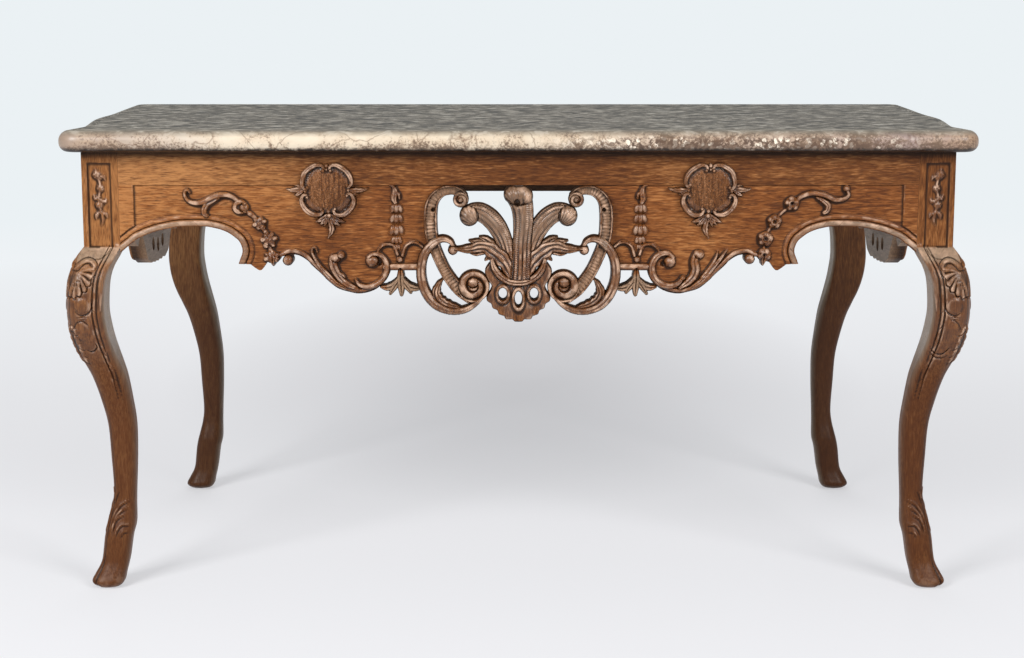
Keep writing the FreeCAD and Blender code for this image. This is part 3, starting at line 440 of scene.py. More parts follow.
scroll_lines = [[(-13, 602), (-5, 608), (4, 613), (14, 614), (23, 609), (27, 601), (23, 593),
                 (18, 592)],
                [(-22, 590), (-9, 591), (-2, 597), (5, 603), (12, 603), (16, 599)],
                [(23, 611), (32, 612), (43, 620), (50, 631)]]
for points in scroll_lines:
    leg_carving.stroke(points, [0.8, 1.6, 1.7, 1.6, 0.8], incised(2.6), way="cut", edge=0.8)
leg_carving.boss(0.0, 530.0, 13.5, 2.0)
bow = [(16.5 * math.sin(a), 530 - 17.5 * math.cos(a)) for a in np.linspace(-1.0, 1.9, 9)]
leg_carving.stroke(bow, [0.8, 1.8, 2.2, 1.8, 0.7], incised(2.6), way="cut", edge=0.8)
for z in (508.0, 503.5):
    leg_carving.stroke([(-10, z), (-2, z + 1.5), (7, z)], [0.7, 1.5, 0.7], incised(2.2), way="cut",
                       edge=0.7)
# Leaf tips along the outer corner below the knee.
for z in (482, 468, 455, 441, 428):
    x = -19 + 0.28 * (490 - z)
    leg_carving.stroke([(x - 6, z + 12), (x + 1, z), (x + 4, z - 10)], [1.5, 4.2, 1.0], leaf(3.0),
                       edge=1.8)
    leg_carving.stroke([(x - 4, z + 2), (x + 2, z - 6), (x + 8, z - 8)], [0.8, 1.6, 0.8],
                       incised(2.4), way="cut", edge=0.8)
# Fetlock: a tuft of hair cut as sweeping strokes above the hoof, and finer ones on its wall.
for points in ([(63, 163), (46, 153), (37, 142), (29, 124), (25, 107)],
               [(58, 148), (44, 140), (35, 128), (29, 112)],
               [(51, 135), (38, 127), (31, 114), (28, 102)],
               [(60, 117), (47, 116), (39, 108), (35, 98)], [(42, 180), (36, 170), (32, 156)],
               [(58, 104), (49, 103), (43, 96)]):
    lower = [(x + 2.0, z - 4.6) for x, z in points]
    leg_carving.stroke(points, [0.8, 2.0, 2.2, 1.0], rounded(1.6), edge=1.0)
    leg_carving.stroke(lower, [0.7, 1.8, 1.8, 0.8], incised(1.5), way="cut", edge=0.8)
for k in range(4):
    x = 24 + 6.5 * k
    leg_carving.stroke([(x, 50 - k), (x + 6, 36 - k), (x + 12, 22)], [0.6, 1.3, 0.6], incised(0.9),
                       way="cut", edge=0.7)

# Each knee ends in its own way: the left in a second oval and a curl, the right in a cupped
# double line.
left_carving, right_carving = copy.deepcopy(leg_carving), copy.deepcopy(leg_carving)
left_carving.boss(0.0, 482.0, 13.0, 1.6, tall=1.3)
for points in ([(-14, 472), (-18, 486), (-12, 498), (0, 502), (9, 495)],
               [(3, 449), (10, 445), (17, 447), (22, 454), (20, 460)]):
    left_carving.stroke(points, [0.8, 1.9, 2.0, 1.6, 0.8], incised(2.6), way="cut", edge=0.8)
for points in ([(1, 505), (-8, 497), (-13, 487), (-14, 475)],
               [(40, 456), (34, 446), (24, 440), (14, 442), (3, 455)],
               [(42, 447), (31, 436), (18, 432), (8, 437)]):
    right_carving.stroke(points, [0.8, 1.9, 2.0, 1.6, 0.8], incised(2.6), way="cut", edge=0.8)
for x in (10, 16, 22, 28):
    right_carving.stroke([(x, 494), (x + 2, 472), (x + 6, 452)], [0.5, 1.0, 0.5], incised(1.0),
                         way="cut", edge=0.7)


def leg_shades(carving):
    """Recess and dust of a carved leg: cuts hold dirt and painted shade, a painted shadow line runs
    down the panel's outer edge, and the shoulder under the post is rubbed and painted pale as a
    highlight.
    """
    recess = carving.recess()
    # The shoulder's ledge is painted paler: rubbed wood, and a painted highlight where it meets the
    # light.
    shoulder = 0.4 * rise(632 - leg_z, 2) * rise(leg_z - 604, 18)
    recess = np.where(recess < 0, 1.5 * recess, recess) + shoulder
    # Painted shadow: a dark line down the outer step of the panel.
    recess = np.where((panel > -1.4) & (panel < 1.2) & (leg_x < 30), -0.8, recess)
    dust = rise(596 - leg_z, 14) * rise(leg_z - 400, 60) * 0.8
    dust = dust + rise(carving.height + 2.0, 1.0) * (panel > 3)
    return np.clip(recess, -1, 1), dust


def leg_rows(front):
    """Edges and corner radii of the leg's section at each height, from the frame's top down."""
    z = np.concatenate([np.linspace(frame_top, knee_line + 1.5, 70),
                        np.linspace(knee_line, 425, 170), np.linspace(423, 0, 175)])
    table = np.array(leg_outline)
    outer, inner = np.zeros_like(z), np.full_like(z, post)
    low = z < knee_line
    for values, column in ((outer, 1), (inner, 2)):
        line, _ = smooth_path(table[:, [column, 0]], 1.0)
        order = np.argsort(line[:, 1])
        values[low] = np.interp(z[low], line[order, 1], line[order, 0])
    knee = rise(knee_line - z, 45.0)
    crisp = 1.0 + ((0.15 + 0.2 * rise(480 - z, 110)) * (inner - outer) - 1.0) * knee
    # The sole is rounded all about.
    tuck = 9.0 * (1 - np.sqrt(np.clip(1 - ((12 - z) / 12) ** 2, 0, 1))) * (z < 12)
    outer, inner = outer + tuck, inner - tuck
    soft = 1.6 + (0.4 * (inner - outer) - 1.6) * knee if front else crisp
    return z, outer, inner, soft, crisp, tuck


def leg(name, side, wood, carving=None):
    """A whole leg, lofted from its sections; a front leg's carving wraps round both outer faces."""
    front = carving is not None
    z, outer, inner, soft, crisp, tuck = leg_rows(front)
    if front:
        near, far = outer, inner
    else:
        near, far = tuck, np.minimum(inner - outer + tuck, post - 1.5)
    # Walk round the section from the middle of the outer corner, over the front face first.
    quarter = math.pi / 4
    rows = []
    corners = ((outer + soft, near + soft, soft, quarter, 0, 10),
               (inner - crisp, near + crisp, crisp, 0, -2 * quarter, 9),
               (inner - crisp, far - crisp, crisp, -2 * quarter, -4 * quarter, 7),
               (outer + crisp, far - crisp, crisp, -4 * quarter, -6 * quarter, 7),
               (outer + soft, near + soft, soft, -6 * quarter, -7 * quarter, 10))
    for centre_u, centre_w, radius, start, end, count in corners:
        turn = np.linspace(start, end, count)
        # Unit normal: -1 in u points out to the side, -1 in w points out to the front.
        nu, nw = -np.sin(turn), -np.cos(turn)
        rows.append((centre_u[:, None] + radius[:, None] * nu,
                     centre_w[:, None] + radius[:, None] * nw, np.broadcast_to(nu, (len(z), count)),
                     np.broadcast_to(nw, (len(z), count))))
    ring = []
    for (u, w, nu, nw), nxt, count in zip(rows, rows[1:] + [None], (52, 16, 14, 52, 0)):
        ring.append((u, w, nu, nw))
        if nxt:
            t = np.linspace(0, 1, count + 2)[1:-1]
            ring.append((u[:, -1:] + (nxt[0][:, :1] - u[:, -1:]) * t,
                         w[:, -1:] + (nxt[1][:, :1] - w[:, -1:]) * t,
                         np.broadcast_to(nu[:, -1:], (len(z), count)),
                         np.broadcast_to(nw[:, -1:], (len(z), count))))
    u, w, nu, nw = (np.hstack([part[k] for part in ring])[:, :-1] for k in range(4))
    zz = np.broadcast_to(z[:, None], u.shape)
    columns = u.shape[1]
    recess, bare, dust = np.zeros(u.shape), np.zeros(u.shape), np.zeros(u.shape)
    facing = np.maximum(-nw, -nu)
    hidden = np.maximum(nu, nw) if front else nu
    bare[:] = rise(hidden - 0.5, 0.5) * ((0.1 if front else 0.4) + 0.5 * rise(zz - 330, 160))
    if front:
        # The front of the shoulder is painted pale grey: rubbed wood, and a painted highlight.
        shoulder = 0.55 * rise(zz - 600, 14) + 0.15 * rise(zz - 545, 20)
        worn = np.minimum(shoulder, 0.75) * rise(632 - zz, 2) * rise(-nw - 0.6, 0.3)
        bare = np.maximum(bare, worn)
        drawn = np.where(-nw >= -nu, u, w)
        # The carving's recess: dirt and painted shade in the cuts, painted highlight on the ridges.
        dirt_and_shade, dust = (carving.at(drawn, zz, shade) for shade in leg_shades(carving))
        lift = carving.at(drawn, zz, carving.height) * rise(facing - 0.3, 0.4)
        recess = dirt_and_shade * rise(facing - 0.3, 0.4)
        # Cleft of the hoof on the outer corner, its groove painted dark as shade.
        wide = 7.0 * np.clip(1 - zz / 72, 0, 1)
        across = np.abs(u - outer[:, None] - (w - near[:, None]))
        cleft = np.clip(1 - across / np.maximum(wide * 1.5, 0.01), 0, 1) * (facing > 0.1)
        lift = lift - wide * cleft
        recess = np.where(cleft > 0.2, -0.8 * cleft, recess)
        # Painted highlight: the toe is painted paler down to the sole.
        recess += 0.3 * rise(40 - zz, 30) * (cleft <= 0.05) * (facing > 0.2)
        u, w = u + nu * lift, w + nw * lift
    face_line = front_face if front else back_face
    outer_line = front_outer if front else back_outer
    inward = 1 if front else -1
    points = np.column_stack([(side * (outer_line - u)).ravel(), (face_line + inward * w).ravel(),
                              zz.ravel()])
    base = np.arange(len(z) - 1)[:, None] * columns
    here, after = np.arange(columns), np.roll(np.arange(columns), -1)
    quads = np.stack([base + here, base + after, base + columns + after, base + columns + here],
                     axis=-1).reshape(-1, 4)
    last = (len(z) - 1) * columns
    faces = quads.tolist() + [list(range(columns)), list(range(last, last + columns))]
    return piece(name, points, faces, wood, "frame", "oak_leg", name, recess=recess.ravel(),
                 bare=bare.ravel(), carved=dust.ravel())


# Old wax gives the legs a nut-brown, half-dull gloss, and they are darker towards the floor; the
# back pair takes a darker copy of the same oak as painted shade, and all four a painted shadow
# under the slab.
leg_oak = oak("waxed_oak_legs", "Z", "#4f2a0e", "#72431e", "#9c683b", foot="#47230a", figure=0.75,
              lit_left_end=0.06, darkening=frame_top)
back_oak = oak("waxed_oak_back_legs", "Z", "#40220c", "#5c3719", "#7d5530", foot="#3c1e09",
               figure=0.75, lit_left_end=0.06, darkening=frame_top)
for side, word, carving in ((1, "right", right_carving), (-1, "left", left_carving)):
    leg(f"front_{word}_leg", side, leg_oak, carving).name = f"carved_front_{word}_leg"
    leg(f"back_{word}_leg", side, back_oak).name = f"plain_back_{word}_leg"

# Back rail and bearers: plain sawn oak. The rail is tenoned between the back legs and the two
# bearers are dovetailed across the frame under the slab; none of them was ever waxed.

# Unwaxed oak in the shade: dark, dry and without shine; the bearers a shade paler.
plain_oak = oak("sawn_oak_plain", "X", "#2f1d10", "#452b16", "#5f4126")
bearer_oak = oak("sawn_oak_bearers", "Y", "#3a2414", "#52361f", "#6f4f33")


def dress(node, material):
    """A CAD piece that stays as it is and takes a finish."""
    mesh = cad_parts[node].data
    mesh.materials.clear()
    mesh.materials.append(material)


dress("back_rail", plain_oak)
for word in ("left", "right"):
    dress(f"bearer_{word}", bearer_oak)

# Front rail: one straight, plain oak board over the carved aprons, planed and waxed. It is tenoned
# into both front posts and pegged, and a black painted shadow lies along its top under the slab.

# Waxed oak with long quiet figure, warm, with its left end painted paler as light.
rail_oak = oak("waxed_oak_rail", "X", "#4b270d", "#6b3e1b", "#a87344", figure=0.75, darkening=frame_top)
dress("front_rail", rail_oak)

# Front aprons: two oak boards sawn to the arches and swags and carved in the solid, their
# fields sunk behind the plain border. Each hangs under the rail on a tongue and a tenon.

# Waxed oak, the warmest and reddest on the table, with bold figure in the flat fields.
apron_oak = oak("waxed_oak_aprons", "X", "#552c0f", "#7b471f", "#a87040", figure=0.85, lit_left_end=0.09)
rail_bottom = rail_low[2]
field_sunk, apron_thick = 3.0, 32.0
field_face = front_face + field_sunk
apron_back = front_face + apron_thick
apron = Relief(112, 712, 520, rail_bottom, 1.1)


def reeded(proud, count, deep):
    """A rounded band with grooves along it."""
    return lambda u, v, s: (proud * np.sqrt(1 - 0.8 * v * v)
                            - deep * np.abs(np.cos(count * np.pi * (v + 1) / 2)) ** 6)


def chain(*runs):
    """A closed outline of close points, in smooth runs that meet the next at a corner."""
    return np.vstack([smooth_path(run, 0.8)[0][:-1] for run in runs])


arch_edge = [(710, 621.5), (705, 626), (690, 637.5), (677, 647), (650, 658), (621, 665),
             (600, 667.6), (576, 668.3), (556, 668), (542, 665.6), (529, 662.2), (517, 657),
             (506.7, 650), (498, 642), (493.5, 633), (492, 624.5), (493.5, 617), (496.4, 610),
             (499.6, 601)]
swag_edge = [(424, 614), (404, 616.5), (397, 617), (388, 614), (376, 606), (369, 598), (354, 584),
             (338, 568), (322, 556), (302.5, 550), (286, 547), (267, 550), (252, 557), (243, 566),
             (238, 577), (236.5, 589.5)]
lap_edge = [(173, 589.5), (173, 601), (168, 618), (158, 634), (155, 657), (156, 680), (149, 706),
            (136, 725), (120, 734)]
outline = chain(arch_edge, [arch_edge[-1], (478.8, 599.9)],
                [(478.8, 599.9), (472, 594.5), (463.4, 588.9)],
                [(463.4, 588.9), (458, 590.5), (450, 602.5)], [(450, 602.5), swag_edge[0]],
                swag_edge, [swag_edge[-1], lap_edge[0]], lap_edge,
                [lap_edge[-1], (120, rail_bottom)], [(120, rail_bottom), (710, rail_bottom)],
                [(710, rail_bottom), arch_edge[0]])
apron.board(outline)
ax = apron.grid()[0]
border = 683.5
apron.height = np.maximum(apron.height, field_sunk * rise(ax - border, 1.2))


def arch_moulding(u, v, s):
    """From the opening: a broad worn bead with old cracks, a groove, a low band and a sunk line."""
    e, crack_every = np.abs(u), 27.0
    bead = 5.0 * np.clip(1 - ((e - 5.6) / 6.2) ** 4, 0, 1) ** 0.5
    bead = bead - 0.05 * (e - 5) ** 2 * (e > 5) * (e < 11.8)
    band = 2.2 * np.clip(1 - np.abs((e - 16.0) / 3.8) ** 5, 0, 1)
    past = (s + 0.9 * e + 6 * np.sin(s / 37)) % crack_every
    crack = np.clip(1 - np.abs(past - 13.0) / 0.9, 0, 1) * (e < 11)
    line = np.clip(1 - np.abs(e - 22.2) / 1.0, 0, 1)
    return np.maximum(bead, band) - 1.3 * crack - 1.3 * line


moulding_wide = 23.0
apron.stroke(arch_edge, [moulding_wide], arch_moulding, way="lay", edge=1.2)
from_arch = apron.trace(smooth_path(arch_edge, 0.8)[0], 14.0)[0]
worn_bead = rise(11.0 - from_arch, 2.0) * rise(from_arch - 1.0, 2.0)
worn_bead = worn_bead * (0.55 + 0.45 * rise(ax - 520, 50))
apron.rubbed += 0.3 * worn_bead
# Rim of the swag.
rim = [(424, 617), (407, 624), (388, 621), (376, 613), (366, 603), (350, 587), (334, 571),
       (318, 560), (302, 555), (286, 552.5), (268, 556), (256, 562)]
apron.stroke(rim, [4.5, 4.5, 4.5, 4.2, 4], rounded(5.5), way="lay")
# Husk drop: a flame over tiers of husks, with leaves springing from its foot over the bar.
husk = 217.0
apron.stroke([(229, rail_bottom), (222, 739), (219, 729), (221, 719), (219, 711)],
             [1.5, 3.5, 6, 6.5, 4], reeded(8.0, 2, 2.0), way="lay")
apron.stroke([(222, 731), (213, 726), (212, 718)], [1.5, 3.5, 2], rounded(7.0), way="lay")
apron.stroke([(254, 616), (248, 628), (240, 634.5), (229, 636), (221, 631.5), (216, 618)],
             [1.8, 2.4, 2.8, 2.8, 3, 3.2], rounded(7.5), way="lay")
apron.stroke([(207, 616), (202, 631), (195, 637.5), (187, 639.5), (178, 637), (171.5, 631.5)],
             [3.2, 3, 2.8, 2.8, 2.6, 2.4], rounded(7.5), way="lay")
apron.stroke([(248, 631), (241, 637), (233, 637)], [0.8, 2, 1], rounded(6.0), way="lay")
apron.stroke([(196, 641), (186, 642.5), (178, 640)], [0.8, 2, 1], rounded(6.0), way="lay")
apron.boss(212, 609, 5.8, 9.5, way="lay")
apron.stroke([(174, 595), (205, 595), (236, 595)], [6.2, 6.2, 6.2], rounded(8.0), way="lay",
             edge=1.0)
# Each tier of the drop is a bell of three petals, the same husk repeated down a line.
petal_points, petal_faces, petal_shade = [], [], []
for across, lean in ((-7.2, -0.2), (0.0, 0.0), (7.2, 0.2)):
    start = len(petal_points)
    for j in range(9):
        polar = math.pi * j / 8
        for i in range(10):
            around = 2 * math.pi * i / 10
            z = 9.8 * math.cos(polar)
            ring_radius = math.sin(polar)
            petal_points.append((across + 6.0 * ring_radius * math.cos(around) - lean * z,
                                 -1.5 - 7.5 * ring_radius * math.sin(around) + abs(across) * 0.3,
                                 z))
            # Each petal is painted paler over its front as a highlight and darker round its sides
            # as shade.
            petal_shade.append(1.3 * ring_radius * math.sin(around) - 0.55)
    for j in range(8):
        for i in range(10):
            after = (i + 1) % 10
            petal_faces.append([start + 10 * j + i, start + 10 * j + 10 + i,
                                start + 10 * j + 10 + after, start + 10 * j + after])


def repeat(name, pattern, spots, scales, material):
    """Geometry Nodes tree that sets a pattern on a row of spots; its result as a plain mesh."""
    tree = bpy.data.node_groups.new(name, "GeometryNodeTree")
    sockets = {}
    for word, way, kind in (("Geometry", "INPUT", "NodeSocketGeometry"),
                            ("Pattern", "INPUT", "NodeSocketObject"),
                            ("Finish", "INPUT", "NodeSocketMaterial"),
                            ("Geometry", "OUTPUT", "NodeSocketGeometry")):
        socket = tree.interface.new_socket(word, in_out=way, socket_type=kind)
        sockets[word, way] = socket.identifier
    given = add(tree, "NodeGroupInput")
    shape = add(tree, "GeometryNodeObjectInfo", {"Object": given.outputs["Pattern"]})
    size = add(tree, "GeometryNodeInputNamedAttribute", {"Name": "size"}, data_type="FLOAT")
    points = add(tree, "GeometryNodeMeshToPoints", {"Mesh": given.outputs["Geometry"]})
    placed = add(tree, "GeometryNodeInstanceOnPoints",
                 {"Points": points.outputs[0], "Instance": shape.outputs["Geometry"],
                  "Scale": size.outputs[0]})
    real = add(tree, "GeometryNodeRealizeInstances", {"Geometry": placed.outputs[0]})
    dressed = add(tree, "GeometryNodeSetMaterial",
                  {"Geometry": real.outputs[0], "Material": given.outputs["Finish"]})
    add(tree, "NodeGroupOutput", {0: dressed.outputs[0]})
    row = bpy.data.meshes.new(name + "_spots")
    row.from_pydata((np.array(spots) * MM).tolist(), [], [])
    row.attributes.new("size", "FLOAT", "POINT").data.foreach_set("value", scales)
    carrier = bpy.data.objects.new(name + "_spots", row)
    bpy.context.scene.collection.objects.link(carrier)
    modifier = carrier.modifiers.new("repeat", "NODES")
    modifier.node_group = tree
    modifier[sockets["Pattern", "INPUT"]] = pattern
    modifier[sockets["Finish", "INPUT"]] = material
    bpy.context.view_layer.update()
    settled = carrier.evaluated_get(bpy.context.evaluated_depsgraph_get())
    mesh = bpy.data.meshes.new_from_object(settled)
    bpy.data.objects.remove(carrier)
    mesh.name = name
    made = bpy.data.objects.new(name, mesh)
    bpy.context.scene.collection.objects.link(made)
    return made


husk_bell = bpy.data.objects.new("husk_bell", bpy.data.meshes.new("husk_bell"))
husk_bell.data.from_pydata((np.array(petal_points) * MM).tolist(), [], petal_faces)
for key, values in (("recess", petal_shade), ("carved", [1.0] * len(petal_points))):
    husk_bell.data.attributes.new(key, "FLOAT", "POINT").data.foreach_set("value", values)
husk_bell.data.polygons.foreach_set("use_smooth", [True] * len(petal_faces))
bpy.context.scene.collection.objects.link(husk_bell)
tiers = [(700.5, 0.92), (682.5, 0.95), (662, 1.08), (644, 0.8), (631, 0.55)]
for side, word in ((1, "right"), (-1, "left")):
    drop = repeat(f"husk_drop_{word}", husk_bell,
                  [(side * husk, field_face, z) for z, size in tiers], [size for z, size in tiers],
                  apron_oak)
    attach(drop, "frame")
bpy.data.objects.remove(husk_bell)
# Sprig under the bar.
sprig = 210.8
for points, halves in (([(0, 590), (0, 578), (0, 566)], [4.5, 7, 7.5]),
                       ([(2, 573), (12, 562), (24, 557.5), (34, 559)], [5, 7, 6.5, 3]),
                       ([(-2, 573), (-12, 561), (-24, 556.5), (-36, 556.5)], [5, 7, 6.5, 3]),
                       ([(6, 566), (13, 556), (18.5, 547)], [5, 5.5, 3]),
                       ([(-6, 566), (-13, 557), (-18, 549)], [5, 5.5, 3]),
                       ([(0, 570), (-1, 557), (-1.5, 545)], [6, 6.5, 3.5])):
    apron.stroke([(sprig + x, z) for x, z in points], halves, leaf(6.5), base=-field_sunk,
                 way="lay", solid=True)

# Left board: a looped leaf, a curled leaf and a volute along the swag.
left_apron, right_apron = copy.deepcopy(apron), copy.deepcopy(apron)
left_apron.stroke([(359, 622), (362, 630), (367, 629), (368, 621), (361, 607), (351, 593),
                   (339, 579), (326, 566), (311, 558)], [1.8, 2.4, 2.8, 3.4, 4.2, 5, 5.4, 5, 4],
                  reeded(8.0, 2, 2.2), way="lay")
left_apron.stroke([(330, 610), (330, 598), (322, 580), (309, 566), (288, 556)], [8.5, 8, 7, 6, 3.5],
                  reeded(9.0, 2, 2.2), way="lay")
left_apron.stroke([(322, 585), (314, 581), (309, 575)], [2.5, 3, 1], rounded(8.0), way="lay")
left_apron.boss(326, 611, 9.5, 12.0, tall=0.85, way="lay", fan=(333, 600, 5, 1.6))
left_apron.boss(316, 617, 7, 12.5, way="lay")
left_apron.boss(261, 606.5, 11.5, 13.0, way="lay")
left_apron.boss(248, 602, 5.5, -3.5, way="cut")
volute = [(268, 613), (259, 618), (247, 617), (238, 608), (234, 594), (240, 577), (253, 565),
          (269, 559.5), (284, 563), (291, 573)]
left_apron.stroke(volute, [3.5, 4.5, 5, 5.5, 6, 6, 6, 5.5, 4.5, 2.5], rounded(9.5), way="lay",
                  solid=True)
# Its garland: a scrolled leaf and a chain of berries that ends in a ball.
left_apron.stroke([(512, 713), (526, 709), (534.5, 704.5)], [0.8, 1.8, 0.8], rounded(3.0))
left_apron.stroke([(532, 719), (543, 714), (553, 708.5), (558.5, 699), (558.5, 691), (555, 688)],
                  [2.5, 4.5, 5.5, 6, 5.5, 4], reeded(8.0, 2, 2.4), way="lay")
left_apron.stroke([(584, 729), (587.5, 733.5), (592, 730.5), (592, 722), (586, 714), (575, 710),
                   (562, 711.5), (550, 717), (536, 723), (521, 725), (508, 721), (499, 714)],
                  [2.2, 3, 3.2, 4, 5, 5.6, 5.6, 5.5, 5.5, 5, 4.5, 4], reeded(9.0, 2, 1.0),
                  way="lay")
left_apron.stroke([(486, 696), (477, 691), (468, 683)], [4, 5, 4], rounded(5.0))
left_apron.stroke([(455, 664), (451, 659), (447, 654)], [4, 4.5, 4], rounded(6.0))
left_apron.stroke([(444, 632), (442, 626), (440, 620)], [4, 5, 4], rounded(5.5), solid=True)
left_apron.boss(493, 702.5, 14, 5.0, way="lay")
wreath = [(495 + 8.8 * math.cos(a), 703 + 8.8 * math.sin(a)) for a in np.linspace(0, 6.1, 13)]
left_apron.stroke(wreath, [4.8, 5.4, 4.6, 5.2], reeded(10.5, 2, 1.4), way="lay")
bunches = ((488, 702, 4.6, ((-1, 7), (-5, 0), (-2, -7))),
           (460.5, 674, 5.2, ((-8, 3), (-2, 8.5), (7, 6), (8, -3), (-5, -7), (2, -8.5), (0, 0))),
           (444, 644, 5.8, ((-10, 3), (-4, 9.5), (6, 8.5), (10.5, 0), (5, -9), (-6, -9), (0, 0.5))),
           (440, 613.5, 5.6, ((-9.5, 4), (-1, 8.5), (9, 5), (9.5, -4), (-8.5, -4), (1, 0))))
for x, z, berry, around in bunches:
    left_apron.boss(x, z, 2.1 * berry, 7.0, way="lay", solid=z < 620)
    for n, (over, up) in enumerate(around):
        left_apron.boss(x + over, z + up, berry + 0.9 * math.sin(5 * n),
                        9.5 + 1.2 * math.cos(3 * n), petals=2, turn=n,
                        tall=0.9 + 0.15 * math.sin(2 * n), way="raise", solid=z < 620)
left_apron.stroke([(439, 611), (438.5, 605), (437.5, 599)], [5, 4.5, 2.5], leaf(8.0), way="lay",
                  solid=True)
left_apron.boss(477, 690.5, 5, 8.0, tall=0.8, way="lay")
left_apron.boss(451, 659, 4.5, 8.0, way="lay")
left_apron.boss(411.5, 607, 9.5, 9.5, solid=True)
# Right board: the same parts, cut by eye and a little fuller.
right_apron.stroke([(372, 627), (361, 611), (347, 594), (331, 574), (311, 559)],
                   [1.5, 4, 5.5, 5.5, 4], reeded(8.0, 2, 2.2), way="lay")
right_apron.stroke([(356, 625), (352, 611), (342, 594), (328, 577)], [1, 3.5, 4, 3], rounded(7.0),
                   way="lay")
right_apron.stroke([(318, 620), (314, 606), (316, 590), (309, 574), (289, 558)],
                   [6, 8, 8.5, 7.5, 3.5], reeded(9.5, 2, 2.4), way="lay")
right_apron.boss(322, 618, 9.5, 12.5, tall=0.85, way="lay", fan=(314, 606, 5, 1.6))
right_apron.boss(270, 605, 10.5, 13.0, way="lay")
right_apron.boss(258, 601, 6.0, -4.0, way="cut")
right_volute = [(276, 613), (266, 620), (252, 618), (242, 608), (238, 594), (241, 578), (252, 566),
                (268, 561), (284, 565), (294, 576)]
right_apron.stroke(right_volute, [3.5, 5, 6, 6.5, 7, 7, 6.5, 6, 5, 3.5], reeded(9.5, 2, 1.4),
                   way="lay", solid=True)
right_apron.boss(294, 576, 5, 10.5, way="lay")
# Its garland: the scroll ends in a ball, and the flowers are four open roses.
right_apron.stroke([(530, 720), (541, 714), (550, 706), (549, 697), (544, 693)],
                   [2.5, 4.5, 5.5, 5.5, 4], reeded(8.0, 2, 2.4), way="lay")
right_apron.stroke([(584, 731), (586, 724), (577, 717), (562, 716), (543, 724), (523, 727.5),
                    (505, 723), (494, 715)], [3, 4, 4.6, 5, 5.4, 5, 4.6, 4], reeded(9.0, 2, 1.0),
                   way="lay")
right_apron.boss(582, 736, 6.5, 10.0, way="lay")
for points in ([(480, 702), (470, 694), (462, 686)], [(450, 670), (446, 662), (442, 656)],
               [(438, 634), (438, 628), (438, 622)]):
    right_apron.stroke(points, [2.5, 3, 2.5], rounded(4.5), solid=points[0][1] < 640)
for x, z, r, turn in ((486, 709, 13, 0.4), (455.5, 677, 12.5, 1.5), (440, 646, 13.5, 2.6),
                      (438.5, 617, 12.5, 0.9)):
    right_apron.boss(x, z, r, 8.0, way="lay", solid=z < 620)
    for k in range(5):
        a = turn + 1.257 * k
        right_apron.boss(x + 0.6 * r * math.cos(a), z + 0.6 * r * math.sin(a), 0.46 * r, 10.0,
                         way="raise", solid=z < 620)
    curl = [(x + 0.42 * r * math.cos(a), z + 0.42 * r * math.sin(a))
            for a in np.linspace(turn, turn + 5.2, 9)]
    right_apron.stroke(curl, [2.2, 2.6, 2.0], rounded(12.0), way="lay")
    right_apron.boss(x, z, 2.2, -4.0, way="cut")
right_apron.stroke([(438, 612), (437, 605), (436, 600)], [5, 4.5, 2.5], leaf(8.0), way="lay",
                   solid=True)
right_apron.boss(412.5, 609.5, 9.5, 9.5, solid=True)


def carved(name, relief, place, back, material, slot, node, dry=None, crisp=1.0):
    """A closed carved board: the relief in front, sawn edges and a flat back. place(x, z, h)
    turns the sheet's x and z, and the height before its face, to the frame's millimetres."""
    solid = relief.inside > 0
    first = int(solid.sum())
    number = np.full(solid.shape, -1)
    number[solid] = np.arange(first)
    xx, zz = relief.grid()
    # The recess darkens hollows with dirt and painted shade, and pales ridges, rubbed and with a
    # painted highlight.
    recess = np.clip(crisp * relief.recess() + relief.rubbed, -1, 1)
    # Dust and gloss lie on what stands proud, but not on a matted field, which is kept brown.
    proud = rise(relief.height - 3.4, 2.0) * (relief.rubbed > -0.2)
    points = np.column_stack([g[solid] for g in (xx, zz, relief.height, recess, proud)])
    corners = solid[:-1, :-1].astype(int) + solid[:-1, 1:] + solid[1:, 1:] + solid[1:, :-1]
    j, i = np.nonzero(corners == 4)
    faces = np.column_stack([number[j, i], number[j, i + 1], number[j + 1, i + 1],
                             number[j + 1, i]]).tolist()
    crossings, rim, edges = {}, [], []
    for j, i in zip(*np.nonzero((corners > 0) & (corners < 4))):
        ring = [(j, i), (j, i + 1), (j + 1, i + 1), (j + 1, i)]
        face = []
        for a, b in zip(ring, ring[1:] + ring[:1]):
            if solid[a]:
                face.append(number[a])
            if solid[a] != solid[b]:
                key = (min(a, b), max(a, b))
                if key not in crossings:
                    inner, outer = (a, b) if solid[a] else (b, a)
                    t = relief.inside[inner] / (relief.inside[inner] - relief.inside[outer])
                    t = min(max(t, 0.08), 0.92)
                    crossings[key] = first + len(rim)
                    rim.append([g[inner] + (g[outer] - g[inner]) * t for g in (xx, zz)]
                               + [relief.height[inner], recess[inner], proud[inner]])
                face.append(crossings[key])
        faces.append(face)
        edges += [(a, b) for a, b in zip(face, face[1:] + face[:1]) if a >= first and b >= first]
    front = np.vstack([points, np.array(rim)])
    count = len(front)
    rear = front[first:].copy()
    rear[:, 2] = -back
    rear[:, 3:] = 0.0
    faces += [[a, a - first + count, b - first + count, b] for a, b in edges]
    every = np.vstack([front, rear])
    worn = np.zeros(count) if dry is None else dry(front[:, 0], front[:, 1])
    # Rear faces are grey bare wood, kept at a part share so the inner faces read darker, as painted
    # shade.
    bare = np.concatenate([worn, np.ones(len(rear)) * 0.6])
    spots = np.column_stack(place(every[:, 0], every[:, 1], every[:, 2]))
    return piece(name, spots, faces, material, "frame", slot, node, recess=every[:, 3], bare=bare,
                 carved=every[:, 4])


